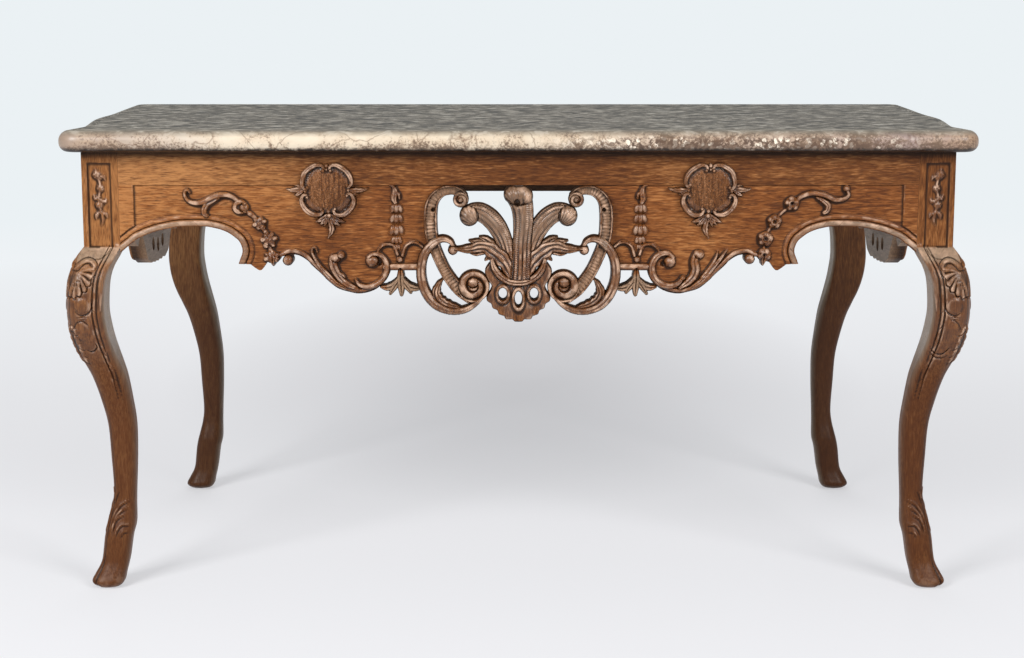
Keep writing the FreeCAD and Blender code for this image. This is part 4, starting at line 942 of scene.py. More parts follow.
for side, word, board in ((1, "right", right_apron), (-1, "left", left_apron)):
    def dry(x, z):
        """Wax has worn off the sprig and the bead along the arch."""
        on_sprig = (np.abs(x - sprig) < 38) * (z < 588) * (x < 236)
        return np.maximum(0.6 * rise(585 - z, 8) * on_sprig, 0.5 * apron.at(x, z, worn_bead))

    carved(f"carved_front_apron_{word}", board,
           lambda x, z, h, side=side: (side * x, field_face - h, z), apron_back - field_face,
           apron_oak, "oak_apron", f"front_apron_{word}", dry)

# Side aprons: one oak board each side, sawn to two arches and a pierced drop, carved outside and
# left bare within. Each is tenoned into the front and back posts, a little nearer at the back.

# Waxed oak, browner and darker than the front as painted shade, for sides that stand in shadow.
side_oak = oak("waxed_oak_side_aprons", "Y", "#4a280f", "#6d421f", "#97663b")
side_length, side_taper, side_thick = 654.0, 0.0887, 30.0
side_middle = side_length / 2
side_apron = Relief(0, side_length, 545, frame_top, 1.2)
side_arch = [(0, 621), (20, 638), (44, 652.5), (75, 663), (105, 668.5), (130, 665.5), (150, 656.5),
             (163, 646), (170, 634.5), (171, 622.5), (164, 610.5)]
half_edge = [side_arch, [side_arch[-1], (185, 600.5)], [(185, 600.5), (199, 617.5)],
             [(199, 617.5), (217.7, 614.5), (234.7, 591.5), (248.9, 569.5), (264.5, 560.5)],
             [(264.5, 560.5), (279, 556), (291.5, 559.5)],
             [(291.5, 559.5), (303, 554.5), (315.6, 557.5)], [(315.6, 557.5), (side_middle, 553.5)]]
other_edge = [[(side_length - x, z) for x, z in run[::-1]] for run in half_edge[::-1]]
side_apron.board(chain(*half_edge, *other_edge, [(side_length, 621), (side_length, frame_top)],
                       [(side_length, frame_top), (0, frame_top)], [(0, frame_top), (0, 621)]))
sx, sz = side_apron.grid()
away = np.abs(sx - side_middle)
side_apron.height -= field_sunk * rise(np.minimum(742 - sz, side_middle - 26 - away), 1.2)
side_scrolls = [([(199, 622), (219, 619), (238, 597), (252, 575), (268, 566), (296, 563)],
                 [4, 5, 5, 5, 4.5, 4]), ([(190, 690), (212, 702), (236, 695), (246, 676),
                                          (236, 660), (221, 664), (222, 676)],
                                         [3, 6, 7, 7, 6, 5, 4]), ([(246, 676), (262, 690),
                                                                   (284, 694), (302, 686)],
                                                                  [4, 8, 8, 2])]
for pair in (1, -1):
    def at_side(points):
        """Points of the front half, or the same ones mirrored to the back half."""
        return [(side_middle + pair * (x - side_middle), z) for x, z in points]

    side_apron.stroke(at_side(side_arch), [moulding_wide], arch_moulding, base=-field_sunk,
                      way="lay", edge=1.2)
    for points, halves in side_scrolls:
        side_apron.stroke(at_side(points), halves, reeded(7.5, 2, 2.0), base=-field_sunk, way="lay")
    for points in ([(268, 640), (284, 655), (306, 660)], [(262, 618), (276, 632), (300, 638)],
                   [(190, 690), (176, 704), (158, 706)]):
        side_apron.stroke(at_side(points), [3, 9, 2], leaf(6.0), base=-field_sunk, way="lay",
                          lobes=(9, 0.15))
    side_apron.boss(*at_side([(224, 674)])[0], 7.5, 8.5, base=-field_sunk, way="lay")
ribs = np.arctan2(sx - side_middle, 628 - sz)
reach = np.hypot(sx - side_middle, sz - 628)
fan_edge = np.minimum(70 - reach, 1.35 - np.abs(ribs))
side_shell = (fan_edge > -1.5) & (side_apron.inside > 0)
side_apron.put(side_shell, (3.0 - 2.4 * np.abs(np.cos(7.5 * ribs)) ** 3)[side_shell],
               fan_edge[side_shell] * 4, 2.0, "lay", False)
for x, z, wide, high in ((34, 591.5, 9, 13), (0, 586.5, 8, 14)):
    hole = (np.hypot((away - x) / wide, (sz - z) / high) - 1) * wide
    side_apron.inside = np.minimum(side_apron.inside, hole)
    side_apron.height += 2.2 * np.exp(-((hole - 3.0) / 1.8) ** 2)
side_apron.boss(side_middle, 636, 11, 9.0, way="lay")
side_front = front_face + post
side_face = front_outer - 4.0
for side, word in ((1, "right"), (-1, "left")):
    carved(f"carved_side_apron_{word}", side_apron,
           lambda x, z, h, side=side: (side * (side_face - side_taper * x + h), side_front + x, z),
           side_thick, side_oak, "oak_apron", f"side_apron_{word}")

# Centre ornament: the pierced heart of the front, carved from one oak plank. Two great channelled
# scrolls frame three plumes that rise from a pierced shell; reeded rings close it at each side.

# Waxed oak, deep brown in the cuts with dirt and painted shade, and a greyish tan on every ridge,
# rubbed and with a painted highlight.
carving_oak = oak("waxed_oak_carving", "Z", "#43230e", "#70431f", "#9b6b47", figure=0.8)
ornament = Relief(0, 190, 490, rail_bottom, 0.9)


def channel(u, v, s):
    """Ribbed channel between two rims."""
    edge = np.abs(v)
    rims = 9.5 * np.sqrt(np.clip(1 - ((edge - 0.83) / 0.19) ** 2, 0, 1))
    ribs = np.abs(np.sin(np.pi * s / 6.0 + 0.6 * np.sin(s / 9)))
    floor = 3.6 + (0.9 + 0.5 * np.sin(s / 17)) * ribs - 1.2 * (1 - edge)
    return np.maximum(rims, np.where(edge < 0.75, floor, 2.0))


ring = [(116, 633), (122, 642), (135, 646), (150, 640), (163, 627), (171.5, 608), (174, 586),
        (171, 564), (162, 543), (148, 527), (130, 518), (112, 515.5), (94, 519), (78, 528),
        (64, 541)]
great = [(156, 694), (156.5, 678), (155, 655), (150, 633), (141.5, 611), (131, 589), (118, 569),
         (104, 553), (88, 541)]
crook = [(156.5, 686), (154.5, 706), (147, 721), (134, 731), (118, 733), (106, 730), (97, 723)]
ornament.stroke([(106, 522), (126, 526), (141, 535), (147, 549), (143, 563), (135, 574)],
                [4, 9, 11, 10, 7, 2], reeded(7.5, 3, 2.2), solid=True, lobes=(13, 0.14))
ornament.stroke(great, [12, 12, 11.5, 10.5, 10.5, 10.5, 11, 11.5, 11], channel, way="lay",
                solid=True)
ornament.stroke(crook, [12, 12, 11, 9.5, 8.5, 8, 7], channel, way="lay", solid=True)
# The ribs in the channel are made a silvery grey: rubbed wood, and a painted highlight.
silvered = np.zeros(ornament.height.shape)
for path, half in ((great, 8.5), (crook, 7.0)):
    silvered = np.maximum(silvered, rise(half - ornament.trace(smooth_path(path)[0], half)[0], 2.0))
ornament.snail(102.5, 716, 14, 8.5, 10.5, 5.0, hand=-1, turn=0.2)
ornament.snail(80.5, 560.5, 29, 16.5, 10.5, 7.5, hand=-1, turn=0.35)
ornament.boss(81.5, 568, 11, 14.0, way="lay", fan=(81.5, 568, 3, 1.2))
ornament.stroke(ring, [4, 6, 7.5, 8.5, 9, 9, 9, 9, 8.8, 8.4, 7.5, 7, 6.5, 5, 3],
                reeded(11.5, 2, 1.5), way="lay", solid=True)
ornament.boss(117, 626, 9, 12, way="lay", solid=True)
ornament.boss(152, 698, 4.5, -6.0, way="cut")
plume = [(10, 572), (16, 606), (25, 640), (36, 664), (50, 682), (66, 692.5), (80, 694), (91, 689)]


def quill(u, v, s):
    """A plume: a strong rib each side of the stalk, fine barbs between, and a turned-over edge."""
    body = 10.5 * np.sqrt(1 - 0.75 * v * v)
    grooves = np.abs(np.cos(4.5 * np.pi * (v + 0.05 * np.sin(s / 15) + 1) / 2)) ** 4
    ribs = (1.5 + 0.9 * np.sin(s / 23 + 2 * v)) * grooves
    barbs = 0.5 * np.cos(2 * np.pi * (s / 3.4 + 1.4 * np.abs(v)))
    return body - ribs - barbs * (np.abs(v) > 0.25) + 1.4 * (np.abs(v) > 0.86)


ornament.stroke(plume, [7, 10, 13, 15, 16.5, 17, 16.5, 14], quill, way="lay", solid=True)
ornament.boss(87.5, 687.5, 17.5, 17.0, tall=1.08, way="lay", solid=True, fan=(72, 668, 15, 2.2))
acanthus = [(13, 580), (21, 599), (31, 612), (44, 623), (57, 631), (70, 632.5), (84, 628.5),
            (97, 627.5), (112, 628)]


def frilled(u, v, s):
    """An acanthus leaf: long flutes that follow it, deeper towards the edges."""
    flutes = np.abs(np.cos(3 * np.pi * (v + 1) / 2)) ** 3
    return 11.0 - 4.0 * np.abs(v) ** 2 - 2.4 * flutes - 1.0 * np.cos(s / 4.5) * v


ornament.stroke([(48, 638), (60, 646), (69, 649)], [7, 6.5, 2], leaf(8.0), way="lay", solid=True)
ornament.stroke([(68, 640), (79, 641), (88, 642.5)], [6.5, 5, 1.5], leaf(8.0), way="lay",
                solid=True)
ornament.stroke([(40, 614), (52, 613), (59, 608)], [7, 6.5, 2], leaf(8.0), way="lay", solid=True)
ornament.stroke([(64, 624), (77, 620), (86, 621)], [7, 5.5, 2], leaf(8.0), way="lay", solid=True)
ornament.stroke(acanthus, [9, 13, 16, 17, 15, 12, 10.5, 7, 4], frilled, way="lay", solid=True,
                lobes=(24, 0.14))
# Pierced shell under the plumes: a bowl with a moulded lip and a frilled lower edge.
lip = [(47, 608), (43, 594), (33, 580), (20, 571.5), (8, 568), (-8, 568)]
frill = [(47, 608), (54, 600), (60, 588), (55, 573), (48, 562), (51, 552), (57, 543), (56, 534),
         (49, 529), (46, 521), (38, 517), (35, 510), (26, 506.5), (22, 501), (11, 500.5),
         (6, 496.5), (-6, 496.5)]
bowl = Relief(ornament.x[0], ornament.x[-1], ornament.z[0], ornament.z[-1], ornament.step)
bowl.board(chain(frill, [frill[-1], lip[-1]], lip[::-1]))
xx, zz = ornament.grid()
fan_turn = np.arctan2(xx, 596 - zz)
fan_reach = np.hypot(xx, zz - 596)
frilling = 2.8 * rise(fan_reach - 62, 24) * np.abs(np.cos(8 * fan_turn)) ** 2
body = 9.0 - 0.07 * np.abs(fan_reach - 45) - frilling
for x, z, wide, high in ((28, 547, 7.5, 10.5), (0, 538, 6.5, 13.0)):
    hole = (np.hypot((xx - x) / wide, (zz - z) / high) - 1) * wide
    bowl.inside = np.minimum(bowl.inside, hole)
    body += 3.2 * np.exp(-((hole - 3.0) / 1.8) ** 2) - 1.5 * np.exp(-((hole - 7.0) / 1.6) ** 2)
under = bowl.inside > -2
clear = (bowl.inside < 0) & (zz < 562) & (np.hypot(xx - 14, zz - 542) < 34)
ornament.put(under, body[under], bowl.inside[under], 1.6, "lay", True)
ornament.inside[clear] = bowl.inside[clear]
ornament.stroke(lip, [4, 6.5, 7, 7, 7, 7], reeded(13.5, 2, 2.6), way="lay", solid=True)

whole = Relief(-ornament.x[-1], ornament.x[-1], ornament.z[0], ornament.z[-1], ornament.step)
whole.x = np.concatenate([-ornament.x[:0:-1], ornament.x])
whole.height = np.hstack([ornament.height[:, :0:-1], ornament.height])
whole.inside = np.hstack([ornament.inside[:, :0:-1], ornament.inside])
silvered = np.hstack([silvered[:, :0:-1], silvered])
whole.rubbed = 0.75 * silvered

# The middle plume leans a little and its head curls forward over the hollow of its stalk.
middle = Relief(whole.x[0], whole.x[-1], whole.z[0], whole.z[-1], whole.step)
middle.stroke([(3, 566), (4.5, 600), (7, 640), (8.5, 680), (6, 706), (0, 722)],
              [19, 17.5, 17, 17.5, 19, 22], quill, base=1.0, way="lay", solid=True)
middle.boss(0, 724, 25, 16.0, tall=0.76, way="lay", solid=True)
middle.boss(14, 722, 12, 17.0, tall=1.3, way="raise", solid=True, fan=(4, 706, 9, 1.2))
middle.boss(-8, 725, 18.5, 18.5, tall=0.92, way="raise", solid=True, fan=(-1, 704, 15, 1.6))
middle.boss(-2.5, 711, 6.5, -5.0, tall=1.3, way="cut")
middle.inside = np.where(whole.grid()[1] > 573, middle.inside, -9.0)
over = middle.inside > -1.6
whole.put(over, middle.height[over], middle.inside[over], 1.6, "lay", True)
whole.inside[-1] = -0.5
plank_back = 20.0


def dry_plumes(x, z):
    """Wax has worn off the plumes towards their heads and off the ribs of the channel, whose grey
    is also a painted highlight.
    """
    plumes = 0.3 * rise(z - 610, 50) * (np.abs(x) < 104)
    return np.maximum(plumes, 0.35 * whole.at(x, z, silvered))


carved("centre_ornament", whole, lambda x, z, h: (x, front_face - h, z), plank_back, carving_oak,
       "oak_carved", "front_centre_ornament", dry_plumes, crisp=1.6)

# Cartouches: two carved oak shields glued over the joint of rail and apron. Four C-scrolls frame
# a domed field that is matted with a punch, with leaves at its sides and a palmette below.

cartouche = Relief(262, 418, 640, 790, 0.9)
shield_x, shield_z = 339.0, 734.6


def on_shield(points):
    """Points given from the shield's middle."""
    return [(shield_x + x, shield_z + z) for x, z in points]


shield_edge = [(8, 40), (24, 41.5), (38, 31.5), (43.5, 18), (41, 2), (43, -9), (46, -21),
               (40, -34.5), (27, -44), (0, -42), (-28, -45), (-41, -35), (-47, -21.5), (-43, -10),
               (-39, 2), (-43, 11), (-41, 22), (-32, 34.5), (-17.5, 42.5)]
cartouche.board(smooth_path(on_shield(shield_edge + shield_edge[:1]), 0.8)[0][:-1])
cx, cz = cartouche.grid()
dome = np.hypot((cx - shield_x) / 46, (cz - shield_z) / 44)
cartouche.height = np.where(cartouche.inside > 0, 5.0 + 5.0 * np.sqrt(np.clip(1 - dome ** 2, 0, 1)),
                            0.0)
# Close punch marks over the field, set by eye rather than in rows.
chance = np.random.default_rng(3)
punches = np.zeros(cartouche.height.shape)
for x, z in chance.uniform((shield_x - 46, shield_z - 44), (shield_x + 46, shield_z + 44),
                           (2600, 2)):
    i0, i1 = np.searchsorted(cartouche.x, (x - 2, x + 2))
    j0, j1 = np.searchsorted(cartouche.z, (z - 2, z + 2))
    dot = np.clip(1 - np.hypot(cx[j0:j1, i0:i1] - x, cz[j0:j1, i0:i1] - z) / 1.4, 0, 1)
    punches[j0:j1, i0:i1] = np.maximum(punches[j0:j1, i0:i1], dot)
cartouche.height -= np.where(cartouche.inside > 0, 1.3 * punches, 0.0)
cartouche.rubbed -= 0.3 * rise(0.84 - dome, 0.08)
# Side leaves and the palmette that hangs below.
for points, halves in (([(40, 0), (54, -1), (65, -1), (73, 1)], [6, 7.5, 5, 1.5]),
                       ([(44, 4), (53, 7), (59, 5)], [3, 3.5, 1]),
                       ([(46, -5), (53, -9), (58, -11)], [4, 5, 1.5]),
                       ([(-38, -1), (-52, -2), (-64, -1), (-73, 2)], [5, 6.5, 5, 1.5]),
                       ([(-42, -5), (-50, -9), (-55, -8)], [4, 4, 1.5]),
                       ([(0, -46), (10, -53), (21, -58)], [5, 7, 2]),
                       ([(-5, -46), (-17, -54), (-30, -58)], [5, 7, 2]),
                       ([(-1, -48), (7, -57), (13, -63)], [4, 5.5, 2]),
                       ([(-5, -48), (-14, -58), (-21, -64)], [4, 5.5, 2]),
                       ([(-2, -50), (3, -58), (6, -66)], [4, 4.5, 2]),
                       ([(-4, -50), (-10, -58), (-15, -63)], [4, 4.5, 2]),
                       ([(-4, -58), (-7, -68), (-6, -76), (-3, -82), (0, -88)],
                        [5, 6.5, 6.5, 4, 1.5])):
    cartouche.stroke(on_shield(points), halves, reeded(8.0, 2, 1.8), base=1.5, way="lay",
                     solid=True, lobes=(9, 0.12))
# Frame of four C-scrolls with curled ends.
scrolls = [[(7, 33), (6, 39), (12, 43), (24, 41.5), (38, 31.5), (43.5, 18.5), (44, 7), (39, 0),
            (35.5, 3)],
           [(-6, 33.5), (-4.5, 39), (-10, 43), (-18, 42.5), (-32, 34.3), (-41, 22.4), (-43, 11),
            (-38, 4.5), (-35, 8)],
           [(36, -14), (38.5, -10), (43.5, -11), (46, -21), (40, -34.5), (27.5, -44), (14, -45),
            (9, -40), (11, -36)],
           [(-35, -11), (-38, -7.5), (-43.5, -10), (-47, -21.6), (-41, -35.4), (-28.5, -45.5),
            (-16, -45), (-11, -39), (-13, -35)]]
for points in scrolls:
    cartouche.stroke(on_shield(points), [3.2, 3.8, 4.8, 5.6, 5.6, 5.6, 4.8, 3.8, 3.2],
                     reeded(11.5, 2, 1.8), base=1.5, way="lay", solid=True)
    for x, z in (points[0], points[-1]):
        cartouche.boss(shield_x + x, shield_z + z, 3.6, 12.5, way="lay", solid=True)
for x, z, r in ((1, 42, 4.6), (1, 35.5, 3), (-1.5, -38.7, 4.2), (-3, -47, 5), (39, -4, 3),
                (-37, -2, 3)):
    cartouche.boss(shield_x + x, shield_z + z, r, 13.0, way="lay", solid=True, tall=1.15)
for side, word in ((1, "right"), (-1, "left")):
    carved(f"cartouche_{word}_carving", cartouche,
           lambda x, z, h, side=side: (side * x, field_face - h, z), 0.0, carving_oak, "oak_carved",
           f"cartouche_{word}")

# Pegs, tongues and dowel: small oak fixings, riven or sawn and left as cut. The pegs cross the
# tenons in the posts, the tongues join rail and aprons, the dowel holds the centre ornament.

for word in ("left", "right"):
    for node in (f"front_pegs_{word}", f"back_pegs_{word}", f"front_tongue_{word}"):
        dress(node, plain_oak)
dress("ornament_dowel", plain_oak)

# Slab: one loose slab of grey breccia marble with a thumb-moulded edge, resting on the frame by its
# own weight. Its top has gone dull and grey; its edge still shows the cream and brown of the stone.

slab_low, slab_high = (np.array(corner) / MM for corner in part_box("marble_top"))
slab_back, slab_corner = slab_high[0], 36.0
slab_half = slab_back - 14.0
slab_y0, slab_y1 = slab_low[1], slab_high[1]
slab_depth = slab_y1 - slab_y0
turns = np.linspace(0, math.pi / 2, 13)
front_bend = [(slab_half - slab_corner * (1 - math.sin(a)),
               slab_y0 + slab_corner * (1 - math.cos(a))) for a in turns]
back_bend = [(slab_back - slab_corner * (1 - math.cos(a)),
              slab_y1 - slab_corner * (1 - math.sin(a))) for a in turns]
# The flanks wave in and out: how far past the front corner's line, at which share of the depth.
waves = [(-8, 0.1), (-14, 0.155), (-8, 0.24), (7.7, 0.42), (5.6, 0.58), (11, 0.8)]
waves = [(slab_half + out, slab_y0 + share * slab_depth) for out, share in waves]
flank = smooth_path([front_bend[-1], *waves, back_bend[0]], 5.0)[0].tolist()
half_plan = [(x, slab_y0) for x in np.arange(0, slab_half - slab_corner - 2, 5.0)]
half_plan += front_bend + flank[1:-1] + back_bend
half_plan += [(x, slab_y1) for x in np.arange(slab_back - slab_corner - 3, 2.5, -12.0)]
plan = np.array(half_plan + [(-x, y) for x, y in half_plan[:0:-1]])
heading = np.roll(plan, -1, axis=0) - np.roll(plan, 1, axis=0)
outward = np.column_stack([heading[:, 1], -heading[:, 0]]) / np.hypot(*heading.T)[:, None]
nose = [(30, 0), (27.5, 0), (26.4, -0.9), (24.8, -0.9), (23.6, 0), (21, 0)]
nose += [(20 - 20 * math.sin(a), -19 + 19 * math.cos(a)) for a in np.linspace(0, math.pi / 2, 11)]
nose += [(0, -22)]
nose += [(15 - 15 * math.cos(a), -22 - 16 * math.sin(a)) for a in np.linspace(0.12, math.pi / 2, 9)]
# Old knocks along the lower rim.
chance = np.random.default_rng(7)
run = np.concatenate([[0], np.cumsum(np.hypot(*np.diff(plan, axis=0).T))])
knocks = np.zeros(len(plan))
for at, wide, deep in zip(chance.uniform(0, run[-1], 150), chance.uniform(2.5, 9, 150),
                          chance.uniform(0.4, 2.4, 150)):
    knocks = np.maximum(knocks, deep * np.clip(1 - ((run - at) / wide) ** 2, 0, 1))
points, faces = [], []
for inset, drop in nose:
    dent = knocks * np.clip((-drop - 22) / 9, 0, 1)
    ring_line = plan - outward * (inset + dent)[:, None]
    points.append(np.column_stack([ring_line, slab_high[2] + drop + 0.5 * dent * (drop > -37.9)]))
around = len(plan)
for k in range(len(nose) - 1):
    here = k * around + np.arange(around)
    after = k * around + (np.arange(around) + 1) % around
    faces += np.column_stack([here, here + around, after + around, after]).tolist()
faces += [list(range(around)), list(range((len(nose) - 1) * around, len(nose) * around))]

# Breccia marble: on the edge, cream stone broken by brown paste, pebbles and dark pits, with a
# soft polish; on the top, a dull grey film with paler wisps.
marble = bpy.data.materials.new("breccia_marble_dulled_top")
marble.use_nodes = True
tree = marble.node_tree
shader = tree.nodes["Principled BSDF"]
place = add(tree, "ShaderNodeTexCoord").outputs["Object"]
spot = add(tree, "ShaderNodeSeparateXYZ", {0: place}).outputs
bend = add(tree, "ShaderNodeTexNoise", {
    "Vector": place, "Scale": 1 / (40 * MM), "Detail": 4.0}).outputs["Color"]
push = add(tree, "ShaderNodeVectorMath", {0: bend, 1: (0.5, 0.5, 0.5)},
           operation="SUBTRACT").outputs[0]
push = add(tree, "ShaderNodeVectorMath", {0: push, 3: 34 * MM}, operation="SCALE").outputs[0]
bent = add(tree, "ShaderNodeVectorMath", {0: place, 1: push}, operation="ADD").outputs[0]
drawn = add(tree, "ShaderNodeMapping", {"Vector": bent, "Scale": (0.62, 1.0, 1.0)}).outputs[0]
seams = add(tree, "ShaderNodeTexVoronoi", {"Vector": bent, "Scale": 1 / (130 * MM)},
            feature="DISTANCE_TO_EDGE").outputs["Distance"]
pebbles = add(tree, "ShaderNodeTexVoronoi", {
    "Vector": bent, "Scale": 1 / (11 * MM)}).outputs["Distance"]
crumbs, cloud, flecks, wisps = (add(tree, "ShaderNodeTexNoise", {
    "Vector": where, "Scale": 1 / (size * MM), "Detail": detail, "Roughness": roughness,
    "Distortion": swirl}).outputs["Fac"] for where, size, detail, roughness, swirl in (
        (bent, 9, 6.0, 0.72, 0.0), (place, 60, 4.0, 0.6, 0.8), (place, 4.5, 4.0, 0.7, 0.0),
        (drawn, 19, 3.0, 0.66, 0.0)))
# Along the stone the cream gives way to brown paste with small pale pebbles.
along = add(tree, "ShaderNodeMapRange", {"Value": spot["X"], 1: -0.826, 2: 0.826}).outputs[0]
cream_run = [(0.0, "#937d6c"), (0.06, "#a38f7f"), (0.13, "#bfb0a0"), (0.2, "#d9cab4"),
             (0.5, "#d6c6af"), (0.58, "#c9b6a0"), (0.66, "#bda793"), (0.8, "#b29b88"),
             (0.92, "#94807a"), (1.0, "#93735b")]
paste_run = [(0.0, 0.02), (0.1, 0.06), (0.2, 0.0), (0.55, 0.03), (0.66, 0.1), (0.9, 0.08),
             (1.0, 0.02)]
cream, paste = (add(tree, "ShaderNodeValToRGB", {"Fac": along}, stops=stops).outputs["Color"]
                for stops in ([(at, linear(colour)) for at, colour in cream_run],
                              [(at, (much, much, much, 1.0)) for at, much in paste_run]))
# Shares: what each one reads, where it starts and is full, and how much it then gives.
share = {}
for word, value, start, full, most in (
        ("foot", spot["Z"], 0.824, 0.802, 0.11), ("rim", spot["Z"], 0.816, 0.802, 1.0),
        ("below", spot["Z"], 0.834, 0.824, 1.0), ("upward", spot["Z"], 0.83, 0.8395, 1.0),
        ("right", spot["X"], 0.02, 0.2, 1.0), ("short_of_end", spot["X"], 0.72, 0.58, 1.0),
        ("lip", spot["Y"], -0.352, -0.386, 0.35), ("tan", cloud, 0.4, 0.66, 0.6),
        ("grains", crumbs, 0.48, 0.53, 0.9), ("pebbles", pebbles, 0.44, 0.39, 1.0),
        ("seams", seams, 0.012, 0.0, 0.6), ("grey", wisps, 0.4, 0.58, 1.0),
        ("pale", wisps, 0.55, 0.64, 0.9)):
    share[word] = add(tree, "ShaderNodeMapRange", {
        "Value": value, 1: start, 2: full, 3: 0.0, 4: most}).outputs[0]
stretch = share["right"]
for more in (share["short_of_end"], share["below"]):
    stretch = add(tree, "ShaderNodeMath", {0: stretch, 1: more}, operation="MULTIPLY").outputs[0]
grains, pebbly, pits = (
    add(tree, "ShaderNodeMath", {0: one, 1: two}, operation="MULTIPLY").outputs[0] for one, two in (
        (stretch, share["grains"]), (share["pebbles"], stretch), (share["rim"], crumbs)))
darkening = add(tree, "ShaderNodeMix", {0: 0.5, 2: flecks, 3: cloud}, data_type="FLOAT").outputs[0]
for more in (paste, share["foot"]):
    darkening = add(tree, "ShaderNodeMath", {0: darkening, 1: more}, operation="ADD").outputs[0]
grimy, pitted = (add(tree, "ShaderNodeMapRange", {
    "Value": value, 1: start, 2: full, 3: 0.0, 4: most}).outputs[0]
    for value, start, full, most in ((darkening, 0.55, 0.65, 0.85), (pits, 0.16, 0.34, 1.0)))
edge, top = cream, linear("#332e26")
for much, colour in ((share["tan"], "#bfa284"), (grains, "#4a3428"), (pebbly, "#efe0cc"),
                     (grimy, "#5c4535"), (share["seams"], "#6d513d"), (pitted, "#23170f")):
    edge = add(tree, "ShaderNodeMix", {0: much, 6: edge, 7: linear(colour)},
               data_type="RGBA").outputs[2]
for much, colour in ((share["grey"], "#857c6e"), (share["pale"], "#b5aea2"),
                     (share["lip"], "#a99d8c")):
    top = add(tree, "ShaderNodeMix", {0: much, 6: top, 7: linear(colour)},
              data_type="RGBA").outputs[2]
stone = add(tree, "ShaderNodeMix", {0: share["upward"], 6: edge, 7: top},
            data_type="RGBA").outputs[2]
dull = add(tree, "ShaderNodeMapRange", {
    "Value": share["upward"], 1: 0.0, 2: 1.0, 3: 0.36, 4: 0.5}).outputs[0]
worn = add(tree, "ShaderNodeBump", {
    "Strength": 0.25, "Distance": 0.5 * MM, "Height": crumbs}).outputs[0]
for socket, value in (("Base Color", stone), ("Roughness", dull), ("Normal", worn)):
    tree.links.new(value, shader.inputs[socket])
piece("moulded_marble_slab", np.vstack(points), faces, marble, "top", "marble", "marble_top")

# Stage: a wide pale paper floor that runs out into a pale studio, lit by two soft lamps in front
# and a weaker one behind, with the camera at the photograph's viewing angle.

# Matt paper: no gloss, and a painted shadow, a soft grey tone, on the floor behind the table.
paper = bpy.data.materials.new("pale_paper_floor")
paper.use_nodes = True
tree = paper.node_tree
shader = tree.nodes["Principled BSDF"]
shader.inputs["Base Color"].default_value = linear("#e9e9ec")
shader.inputs["Roughness"].default_value = 0.9
shader.inputs["Specular IOR Level"].default_value = 0.1
place = add(tree, "ShaderNodeTexCoord").outputs["Object"]
away = add(tree, "ShaderNodeVectorMath", {0: place}, operation="LENGTH").outputs["Value"]
share = add(tree, "ShaderNodeMapRange", {"Value": away, 1: 0.9, 2: 4.5, 3: 0.5, 4: 1.0}).outputs[0]
rays = add(tree, "ShaderNodeLightPath").outputs
seen = add(tree, "ShaderNodeMath", {0: rays["Is Camera Ray"], 1: rays["Is Glossy Ray"]},
           operation="MAXIMUM").outputs[0]
seen = add(tree, "ShaderNodeMath", {0: seen, 1: rays["Is Transmission Ray"]},
           operation="MAXIMUM").outputs[0]
share = add(tree, "ShaderNodeMath", {0: share, 1: seen}, operation="MULTIPLY").outputs[0]
# Middle of the painted shadow behind the table, and the share of its reach across and along.
painted_shadow_reach = add(tree, "ShaderNodeVectorMath", {0: place, 1: (0.0, 1.9, 0.0)},
          operation="SUBTRACT").outputs[0]
painted_shadow_reach = add(tree, "ShaderNodeVectorMath", {0: painted_shadow_reach, 1: (1.0, 1 / 1.7, 1.0)},
          operation="MULTIPLY").outputs[0]
painted_shadow_reach = add(tree, "ShaderNodeVectorMath", {0: painted_shadow_reach}, operation="LENGTH").outputs["Value"]
pale = linear("#f5f5f8")
for value, start, full, colour in ((away, 1.5, 6.0, "#ebf1f4"), (painted_shadow_reach, 1.0, 0.2, "#cdcccf")):
    much = add(tree, "ShaderNodeMapRange", {
        "Value": value, 1: start, 2: full, 3: 0.0, 4: 1.0}).outputs[0]
    pale = add(tree, "ShaderNodeMix", {0: much, 6: pale, 7: linear(colour)},
               data_type="RGBA").outputs[2]
glow = add(tree, "ShaderNodeEmission", {"Color": pale, "Strength": 1.0}).outputs[0]
both = add(tree, "ShaderNodeMixShader", {0: share, 1: shader.outputs[0], 2: glow})
tree.links.new(both.outputs[0], tree.nodes["Material Output"].inputs["Surface"])
sheet = bmesh.new()
floor_radius = 40.0
bmesh.ops.create_circle(sheet, cap_ends=True, segments=96, radius=floor_radius)
sheet_mesh = bpy.data.meshes.new("paper_floor")
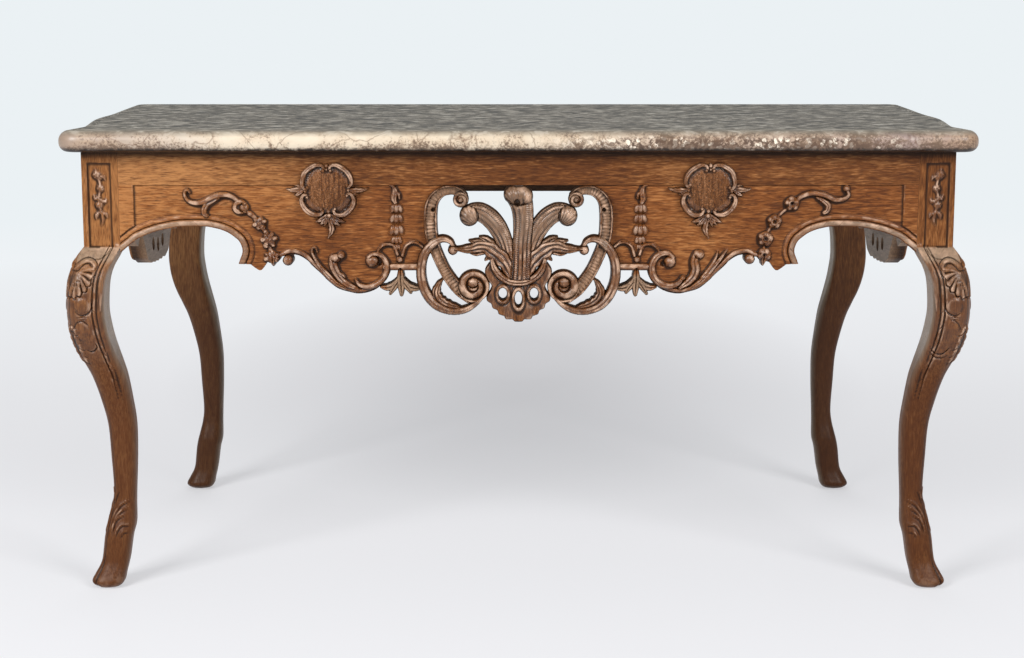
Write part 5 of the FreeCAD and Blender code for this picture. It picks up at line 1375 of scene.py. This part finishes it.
sheet.to_mesh(sheet_mesh)
sheet.free()
sheet_mesh.materials.append(paper)
floor = bpy.data.objects.new("paper_floor", sheet_mesh)
bpy.context.scene.collection.objects.link(floor)

# Lamps: place across and along, watts, and width; the one behind leaves no glints.
lamp_height, aim_height = 2.6, 0.5
for x, y, power, wide in ((-2.4, -3.0, 130, 1.6), (2.4, -3.0, 98, 1.6), (0.0, 3.6, 50, 3.0)):
    lamp = bpy.data.lights.new("soft_lamp", "AREA")
    lamp.energy = power
    lamp.size = wide
    holder = bpy.data.objects.new("soft_lamp", lamp)
    holder.location = (x, y, lamp_height)
    holder.visible_glossy = y < 0
    aim = holder.location.copy() * -1
    aim.z += aim_height
    holder.rotation_euler = aim.to_track_quat("-Z", "Y").to_euler()
    bpy.context.scene.collection.objects.link(holder)

world = bpy.data.worlds.new("studio_air")
world.use_nodes = True
tree = world.node_tree
tree.nodes["Background"].inputs["Color"].default_value = linear("#ebf1f4")
rays = add(tree, "ShaderNodeLightPath").outputs
seen = add(tree, "ShaderNodeMath", {0: rays["Is Camera Ray"], 1: rays["Is Transmission Ray"]},
           operation="MAXIMUM").outputs[0]
mirrored = add(tree, "ShaderNodeMath", {0: rays["Is Glossy Ray"], 1: 0.3},
               operation="MULTIPLY").outputs[0]
seen = add(tree, "ShaderNodeMath", {0: seen, 1: mirrored}, operation="MAXIMUM").outputs[0]
level = add(tree, "ShaderNodeMapRange", {"Value": seen, 1: 0.0, 2: 1.0, 3: 0.3, 4: 1.0}).outputs[0]
tree.links.new(level, tree.nodes["Background"].inputs["Strength"])
bpy.context.scene.world = world

eye = bpy.data.cameras.new("eye")
eye.sensor_width = 36.0
eye.lens = 70.42
camera = bpy.data.objects.new("eye", eye)
camera.location = (-0.0115, -3.922, 1.0902)
eye_dip = 9.72
camera.rotation_euler = (math.radians(90 - eye_dip), 0, 0)
bpy.context.scene.collection.objects.link(camera)
bpy.context.scene.camera = camera
bpy.context.scene.view_settings.view_transform = "Standard"
